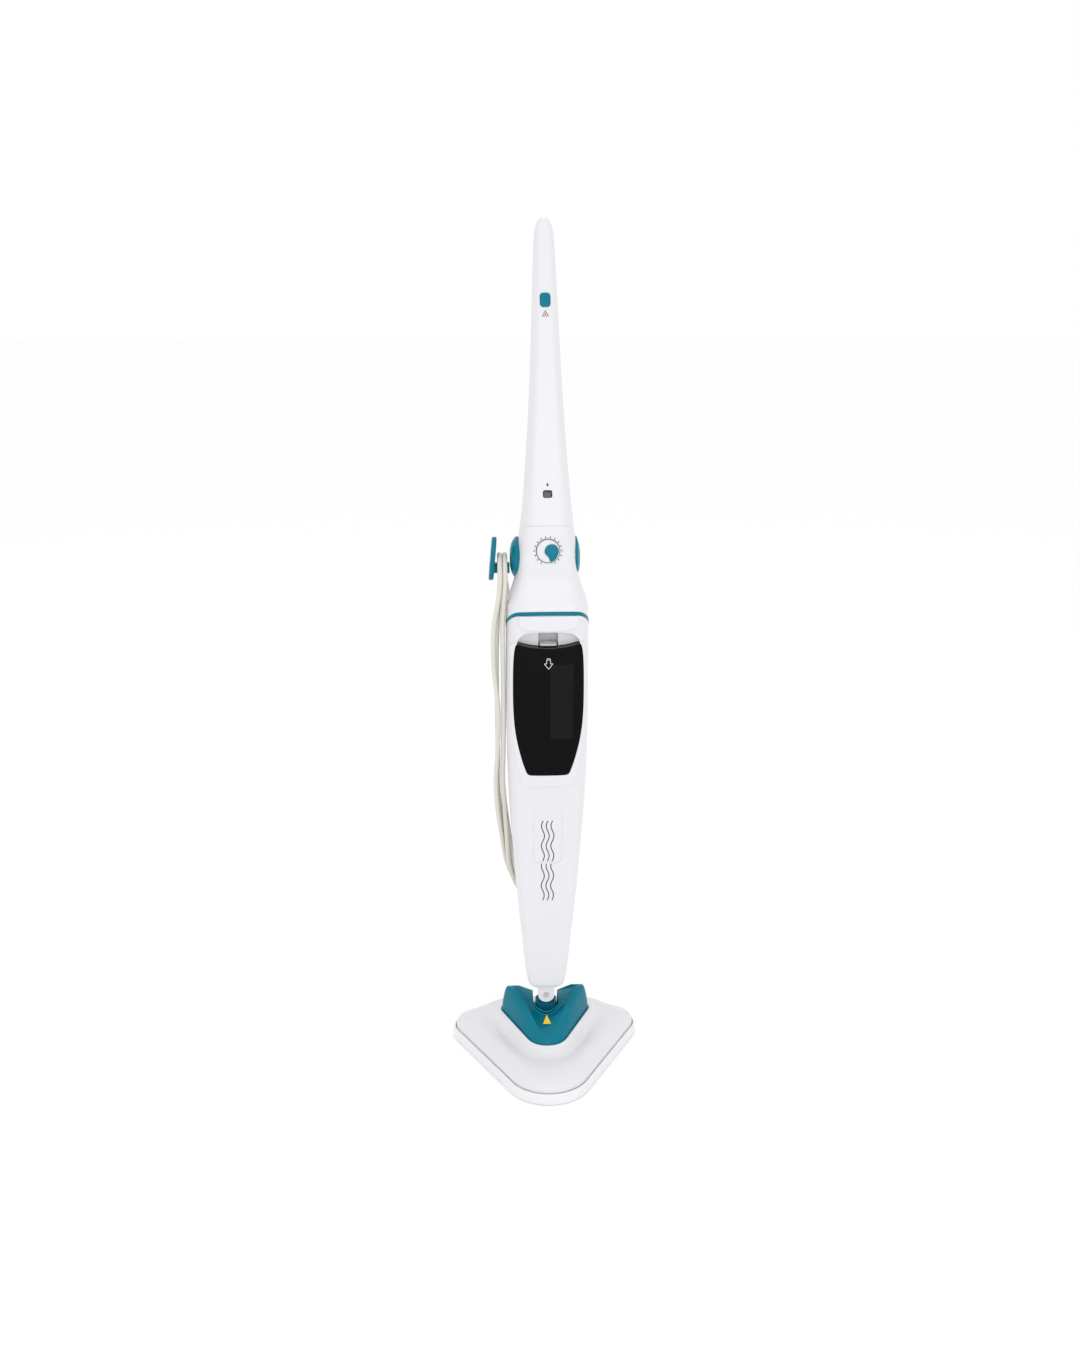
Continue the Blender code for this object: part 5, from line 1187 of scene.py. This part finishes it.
# ---------------------------------------------------------------- water tank
tank = body_loft("tank_shell", 0.0024, 0.470, 0.680, 28)
tank = keep(tank, prism("d", round_outline(tank_line, 1), -0.2, TANK_BACK_Y, "Y"))
tank = bevel(tank, 0.0012, 3, 50)
hollow = body_loft("c", 0.0002, 0.470, 0.680, 24, [0.485, 0.50, 0.53, 0.57, 0.61, 0.65])
hollow = keep(hollow, prism("d", offset_outline(tank_line, -0.0022), -0.2, TANK_BACK_Y - 0.0022, "Y"))
tank = cut(tank, hollow)
FILL_Y = -0.0445
tank = add(tank, turned("c", [(0.0, 0.6604), (0.0084, 0.6604), (0.0084, 0.6630), (0.0, 0.6630)], (0, FILL_Y, 0), steps=40))
tank = cut(tank, turned("c", [(0.0, 0.655), (0.0062, 0.655), (0.0062, 0.70), (0.0, 0.70)], (0, FILL_Y, 0), steps=40))
tank = cut(tank, turned("c", [(0.0, -0.02), (0.0036, -0.02), (0.0036, 0.0), (0.0, 0.0)], (0, 0, 0.5000), (0, 1, 0), 32))
show(tank, SMOKE, "tank", ("water_tank",), 32)


def front_y(x, z, off=0.0):
    """Front face of the body (or of a surface a little in front of it) at a point on the flat panel."""
    a, yf, yb, fw = table(BODY, z)
    return yf - off + 0.0010 * (x / max(fw, 0.01)) ** 2


def flat_print(name, polys, mat, body, off, lift=0.00022, thick=0.00035):
    """Thin raised print on the front panel. Each polygon is an outline in x and z."""
    bm = bmesh.new()
    for poly in polys:
        top, low = [], []
        for x, z in poly:
            y = front_y(x, z, off)
            top.append(bm.verts.new((x, y - lift, z)))
            low.append(bm.verts.new((x, y - lift + thick, z)))
        n = len(poly)
        bm.faces.new(top)
        bm.faces.new(list(reversed(low)))
        for i in range(n):
            bm.faces.new((top[i], low[i], low[(i + 1) % n], top[(i + 1) % n]))
    return show(finish(bm, name), mat, body, (), 30)


def stroke(pts, w):
    """Short quads that follow a line at an even width."""
    out = []
    for a, b in zip(pts, pts[1:]):
        a, b = Vector(a), Vector(b)
        d = (b - a)
        if d.length < 1e-9:
            continue
        d.normalize()
        n = Vector((-d.y, d.x)) * w / 2
        e = d * w * 0.12
        out.append([tuple(a - e - n), tuple(b + e - n), tuple(b + e + n), tuple(a - e + n)])
    return out


# generic down arrow on the tank
AZ = 0.6400
arrow = [(-0.0026, AZ + 0.0066), (-0.0026, AZ + 0.0010), (-0.0058, AZ + 0.0010), (0.0, AZ - 0.0068), (0.0058, AZ + 0.0010), (0.0026, AZ + 0.0010), (0.0026, AZ + 0.0066)]
marks = stroke(arrow, 0.0007) + stroke([(-0.0026, AZ + 0.0082), (0.0026, AZ + 0.0082)], 0.0007) + stroke([(-0.0026, AZ + 0.0066), (0.0026, AZ + 0.0066)], 0.0006)
flat_print("tank_arrow", marks, INK_LIGHT, "tank", 0.0024)

# wavy vapour lines low on the front, in place of lettering
for nm, z0, z1, off in (("vapour_mark", 0.3365, 0.4020, -0.0008), ("vapour_mark_low", 0.2720, 0.3325, 0.0)):
    waves = []
    for x0 in (-0.0068, 0.0, 0.0068):
        n = int(round((z1 - z0) / 0.0022))
        zz = [z0 + (z1 - z0) * t / n for t in range(n + 1)]
        waves += stroke([(x0 + 0.0022 * math.sin(2 * math.pi * (z - 0.2720) / 0.0325), z) for z in zz], 0.0013)
    flat_print(nm, waves, INK, "main_body", off)

# ---------------------------------------------------------------- controls on the body
K_R = KNOB_R
knob = turned("knob_disc", [(0.0, -0.0064), (K_R - 0.0024, -0.0064), (K_R - 0.0014, -0.0062), (K_R - 0.0006, -0.0056), (K_R, -0.0044), (K_R, -0.0008), (0.0030, -0.0008),
                            (0.0030, 0.0029), (0.0, 0.0029)], KNOB_C, KNOB_AXIS, 96)
show(knob, WHITE, "regulator_knob", ("steam_knob",), 35)


def drop_outline(n=20):
    """Round bulb at the right of the knob with a tail that ends at its lower edge."""
    r, cx = 0.0096, 0.0046
    pts = []
    for i in range(n):
        t = math.radians(-28 + 228 * i / (n - 1))
        pts.append((cx + r * math.cos(t), 0.0002 + r * math.sin(t)))
    pts += [(-0.0010, -0.0062), (0.0010, -0.0092), (0.0019, -0.0122), (0.0022, -0.0140), (0.0046, -0.0138), (0.0080, -0.0119), (0.0110, -0.0090)]
    return pts

point = prism("knob_drop", drop_outline(60), -0.0085, -0.0067, "Y")
point.data.transform(Matrix.Translation(Vector(KNOB_C)) @ Matrix.Rotation(-PANEL_TILT, 4, "X"))
point = bevel(point, 0.0010, 4, 40)
show(point, TEAL, "regulator_knob", ("knob_pointer",), 30)


def ring_poly(r0, r1, n, cx, cz):
    out = []
    for i in range(n):
        a, b = 2 * math.pi * i / n, 2 * math.pi * (i + 1) / n
        out.append([(cx + r0 * math.cos(a), cz + r0 * math.sin(a)), (cx + r1 * math.cos(a), cz + r1 * math.sin(a)),
                    (cx + r1 * math.cos(b), cz + r1 * math.sin(b)), (cx + r0 * math.cos(b), cz + r0 * math.sin(b))])
    return out


dial = ring_poly(K_R + 0.0004, K_R + 0.0013, 72, 0.0, KNOB_Z)
for i in range(16):
    a = math.radians(90 - (-150 + 20 * i))
    c, s = math.cos(a), math.sin(a)
    dial += stroke([(c * (K_R + 0.0026), KNOB_Z + s * (K_R + 0.0026)), (c * (K_R + 0.0042), KNOB_Z + s * (K_R + 0.0042))], 0.0012)
flat_print("dial_marks", dial, INK, "main_body", 0.0)

for side, nm in ((-1, "side_cap_left"), (1, "side_cap_right")):
    x0 = 0.0380
    h = 0.0 if side < 0 else 1.0
    prof = [(0.0, 0.0508 - 0.0050 * h), (0.0060, 0.05065 - 0.0050 * h), (0.0120, 0.0503 - 0.0048 * h), (0.0165, 0.0495 - 0.0045 * h), (0.0205, 0.0482 - 0.0042 * h),
            (0.0240, 0.0464 - 0.0034 * h), (0.0262, 0.0448 - 0.0026 * h), (0.0278, 0.0436 - 0.0019 * h), (0.0287, 0.0428 - 0.0016 * h), (0.0290, 0.0420 - 0.0014 * h), (0.0290, x0), (0.0, x0)]
    c = turned(nm + "_dome", [(r, side * v) for r, v in prof], (0, 0.0, CAP_CENTRE_Z), (1, 0, 0), 96)
    c = cut(c, body_loft("d", GAP, 0.72, BODY_Z1, 28))
    show(c, TEAL, "main_body", (nm,), 32)

HOOK_X0 = -0.0512
HOOK_X1 = -0.0740
hook = loft("hook_arm", [[Vector((x, y, z)) for y, z in rounded_rect(0.0, ARM_Z, w, h, min(w, h) * 0.42, 8)]
                         for x, w, h in ((HOOK_X0, 0.0200, 0.0140), (-0.0560, 0.0193, 0.0133), (-0.0600, 0.0190, 0.0130), (-0.0660, 0.0193, 0.0130), (HOOK_X1, 0.0200, 0.0130))])
rings = [[Vector((x + (z - 0.7745) * 0.09, y, z)) for y, z in rounded_rect(0.0, 0.7745, w, h, r, 10)]
         for x, w, h, r in ((-0.0710, 0.0300, 0.0560, 0.0140), (-0.0712, 0.0318, 0.0582, 0.0152), (-0.0718, 0.0330, 0.0600, 0.0160), (-0.0762, 0.0330, 0.0600, 0.0160), (-0.0771, 0.0318, 0.0588, 0.0154), (-0.0776, 0.0290, 0.0560, 0.0140))]
flange = loft("c", rings)
hook = add(hook, flange)
show(hook, TEAL, "main_body", ("upper_cord_hook",), 30)

hook2 = prism("hook_post", rounded_rect(LH_X, LH_Z, 0.0200, 0.0120, 0.0050, 8), 0.0250, 0.0760, "Y")
pad2 = prism("c", rounded_rect(LH_X, LH_Z - 0.0060, 0.0240, 0.0440, 0.0100, 10), 0.0735, 0.0785, "Y")
pad2 = bevel(pad2, 0.0012, 3, 40)
hook2 = add(hook2, pad2)
hook2 = cut(hook2, body_loft("d", GAP, 0.16, 0.28, 28))
show(hook2, WHITE, "main_body", ("lower_cord_hook",), 32)

# ---------------------------------------------------------------- handle
HZ = [r[0] for r in HANDLE]


def handle_half(name, side):
    rows = []
    for z in [0.77] + HZ[1:] + [1.24]:
        yc = table(HANDLE, z)[0] + (z - HANDLE_Z1) * 0.3 * (1 if z > HANDLE_Z1 else 0)
        y0 = yc + 0.0008 + side * GAP / 2
        y1 = y0 + side * 0.12
        lo, hi = min(y0, y1), max(y0, y1)
        rows.append([Vector((-0.08, lo, z)), Vector((0.08, lo, z)), Vector((0.08, hi, z)), Vector((-0.08, hi, z))])
    return loft(name, rows)

def face_frame(z):
    """Point on the flat front face of the handle at height z, with its outward normal and up direction."""
    yc, hd, hw, fw = table(HANDLE, z)
    ya = table(HANDLE, z - 0.004)
    yb = table(HANDLE, z + 0.004)
    up = Vector((0, (yb[0] - yb[1]) - (ya[0] - ya[1]), 0.008)).normalized()
    nrm = Vector((0, -up.z, up.y))
    return Vector((0, yc - hd, z)), nrm, up


def placed_prism(name, pts, frame, lo, hi):
    """Extrude an outline drawn in the face plane, from lo to hi along the outward normal."""
    c, nrm, up = frame
    bm = bmesh.new()
    vs = [bm.verts.new(c + Vector((1, 0, 0)) * x + up * y + nrm * lo) for x, y in pts]
    f = bm.faces.new(vs)
    r = bmesh.ops.extrude_face_region(bm, geom=[f])
    bmesh.ops.translate(bm, vec=nrm * (hi - lo), verts=[q for q in r["geom"] if isinstance(q, bmesh.types.BMVert)])
    return finish(bm, name)

hf = keep(handle_solid("handle_face"), handle_half("c", -1))
hr = keep(handle_solid("handle_back"), handle_half("c", 1))
hf = cut(hf, slant("c", SEAM_Z + 0.00035, SEAM_SLOPE, False))
hr = cut(hr, slant("c", SEAM_Z + 0.00035, SEAM_SLOPE, False))
hf = cut(hf, cut(handle_solid("c", -WALL, 0.7870, 1.2050, False), slant("d", SEAM_Z + 0.0031, SEAM_SLOPE, False)))
hr = cut(hr, cut(handle_solid("c", -WALL, 0.7870, 1.2050, False), slant("d", SEAM_Z + 0.0031, SEAM_SLOPE, False)))
FB = face_frame(BUTTON_Z)
FL = face_frame(0.8680)
hf = cut(hf, placed_prism("c", rounded_rect(0, 0, 0.0144, 0.0192, 0.0046, 8), FB, -0.006, 0.01))
hf = cut(hf, placed_prism("c", rounded_rect(0, 0, 0.0126, 0.0104, 0.0026, 8), FL, -0.006, 0.01))
show(hf, WHITE, "main_body", ("handle_front",), 32)
show(hr, WHITE, "main_body", ("handle_rear",), 32)

btn = placed_prism("button_cap", rounded_rect(0, 0, 0.0136, 0.0184, 0.0043, 8), FB, -0.0022, 0.0022)
btn = bevel(btn, 0.0010, 4, 40)
btn = add(btn, placed_prism("c", rounded_rect(0, 0, 0.0060, 0.0060, 0.0020, 3), FB, -0.0062, -0.0018))
show(btn, TEAL, "trigger_button", ("steam_button",), 32)
lens = placed_prism("indicator_window", rounded_rect(0, 0, 0.0120, 0.0098, 0.0023, 8), FL, -0.0020, 0.0006)
lens = bevel(lens, 0.0004, 3, 40)
show(lens, LENS, "main_body", ("indicator_lens",), 32)


def face_print(name, polys, z, mat, lift=0.00020, thick=0.0004):
    c, nrm, up = face_frame(z)
    bm = bmesh.new()
    for poly in polys:
        top = [bm.verts.new(c + Vector((x, 0, 0)) + up * y + nrm * lift) for x, y in poly]
        low = [bm.verts.new(v.co - nrm * thick) for v in top]
        n = len(poly)
        bm.faces.new(top)
        bm.faces.new(list(reversed(low)))
        for i in range(n):
            bm.faces.new((top[i], low[i], low[(i + 1) % n], top[(i + 1) % n]))
    return show(finish(bm, name), mat, "main_body", (), 30)


tri = [(-0.0042, -0.0034), (0.0042, -0.0034), (0.0, 0.0040), (-0.0042, -0.0034)]
face_print("grip_mark", stroke(tri, 0.0007) + [[(-0.0008, -0.0020), (0.0008, -0.0020), (0.0006, 0.0008), (-0.0006, 0.0008)]], 1.0985, INK)
face_print("lamp_mark", [[(0.0, -0.0026), (0.0016, 0.0), (0.0, 0.0026), (-0.0016, 0.0)]], 0.8800, INK)

# a plain triangle on the yoke, with no symbol in it
def yoke_print(name, polys, mat, lift=0.00025, thick=0.0005):
    bm = bmesh.new()
    for poly in polys:
        top = [bm.verts.new((x, y, yoke_top(x, y) + lift)) for x, y in poly]
        low = [bm.verts.new((v.co.x, v.co.y, v.co.z - thick)) for v in top]
        n = len(poly)
        bm.faces.new(top)
        bm.faces.new(list(reversed(low)))
        for i in range(n):
            bm.faces.new((top[i], low[i], low[(i + 1) % n], top[(i + 1) % n]))
    return show(finish(bm, name), mat, "head", (), 30)


ty = -0.0318
yoke_print("yoke_mark", [[(-0.0060, ty - 0.0045), (0.0060, ty - 0.0045), (0.0, ty + 0.0065)]], INK_YELLOW)

# ---------------------------------------------------------------- washable pad under the head
def pad_piece():
    """Microfibre pad: a thin stuffed shape, swollen by the cloth solver and kept in its pocket, then quilted."""
    z0, z1 = 0.0032, 0.0079
    p = prism("floor_cloth", hull_outline(HEAD, 0.0062), z0, z1)
    r = p.modifiers.new("remesh", "REMESH")
    r.mode = "VOXEL"
    r.voxel_size = 0.0018
    bake(p)
    bpy.context.view_layer.update()
    rest = [v.co.copy() for v in p.data.vertices]
    c = p.modifiers.new("cloth", "CLOTH")
    c.settings.quality = 4
    c.settings.mass = 0.2
    c.settings.use_pressure = True
    c.settings.uniform_pressure_force = 3.0
    c.settings.effector_weights.gravity = 0.0
    c.collision_settings.use_collision = False
    c.point_cache.frame_start = 1
    c.point_cache.frame_end = 12
    for f in range(1, 13):
        scene.frame_set(f)
    dg = bpy.context.evaluated_depsgraph_get()
    me = p.evaluated_get(dg).to_mesh()
    moved = [v.co.copy() for v in me.vertices] if len(me.vertices) == len(rest) else rest
    p.evaluated_get(dg).to_mesh_clear()
    p.modifiers.clear()
    scene.frame_set(1)
    for v, a, b in zip(p.data.vertices, rest, moved):
        d = b - a
        if d.length > 0.0012:
            d = d * (0.0012 / d.length)
        q = a + d
        # quilting lines stitched through the pad, seen from below
        if q.z < 0.0056:
            k = min(abs(((q.x * 0.5 + q.y * 0.866) / 0.016) % 1.0 - 0.5), abs(((-q.x * 0.5 + q.y * 0.866) / 0.016) % 1.0 - 0.5))
            k = 0.5 - k
            groove_d = math.exp(-(min(0.5 - k, 0.5) / 0.07) ** 2)
            q.z += 0.0010 * groove_d
            q.z += 0.00025 * noise.noise(Vector((q.x * 260, q.y * 260, 3.0)))
        q.z = min(max(q.z, 0.0030), 0.0092)
        v.co = q
    return p


pad = pad_piece()
show(pad, CLOTH, "head", ("mop_pad",), 80)
rim_pts = [Vector((x, y, 0.0056)) for x, y in hull_outline(HEAD, 0.0056)]
rim = tube("pad_binding", rim_pts, 0.0013, 3, True)
show(rim, CLOTH, "head", (), 80)

# ---------------------------------------------------------------- finishes of the working parts that stay as they are
FINISH = {"head_base_plate": WHITE_SATIN, "head_screw": STEEL, "grip_strip": RUBBER, "steam_nozzle": BLACK, "pitch_pin": STEEL, "roll_pin": STEEL, "body_screw": STEEL,
          "tank_cap": WHITE_SATIN, "tank_valve": SILICONE, "boiler": ALU, "thermostat": BLACK, "thermal_fuse": GREY, "pump": BLACK, "water_tube": SILICONE, "pump_tube": SILICONE,
          "steam_tube": SILICONE, "circuit_board": PCB, "steam_regulator": GREY, "button_spring": STEEL, "micro_switch": BLACK, "indicator_led": GREY, "handle_tube": ALU}
for name in sorted(NODES):
    ob = NODES[name]
    if ob.hide_render:
        continue
    for key, mat in FINISH.items():
        if name.startswith(key):
            ob.data.materials.clear()
            ob.data.materials.append(mat)

# ---------------------------------------------------------------- studio
fl = bpy.data.meshes.new("floor")
bm = bmesh.new()
for x, y in ((-14, -14), (14, -14), (14, 14), (-14, 14)):
    bm.verts.new((x, y, -0.0004))
bm.faces.new(bm.verts)
bm.to_mesh(fl)
bm.free()
floor = bpy.data.objects.new("floor", fl)
scene.collection.objects.link(floor)
fm, fnt, fb = shader("floor_paint")
fb.inputs["Base Color"].default_value = (0.985, 0.985, 0.985, 1.0)
fb.inputs["Roughness"].default_value = 0.9
fb.inputs["Specular IOR Level"].default_value = 0.0
floor.data.materials.append(fm)

world = bpy.data.worlds.new("studio")
scene.world = world
world.use_nodes = True
bg = world.node_tree.nodes["Background"]
bg.inputs["Color"].default_value = (1.0, 1.0, 1.0, 1.0)
bg.inputs["Strength"].default_value = 1.0


def area(name, loc, aim, size, power, color=(1, 1, 1)):
    d = bpy.data.lights.new(name, "AREA")
    d.shape = "RECTANGLE"
    d.size, d.size_y = size
    d.energy = power
    d.color = color
    o = bpy.data.objects.new(name, d)
    scene.collection.objects.link(o)
    o.location = loc
    o.rotation_euler = (Vector(aim) - Vector(loc)).to_track_quat("-Z", "Y").to_euler()
    return o


area("key", (0.15, -3.0, 1.5), (0.0, 0.0, 0.65), (1.2, 2.2), 14.0)
area("top", (0.0, -0.4, 3.2), (0.0, 0.0, 0.3), (2.0, 2.0), 5.0)
scene.view_settings.view_transform = "Standard"
scene.view_settings.look = "None"
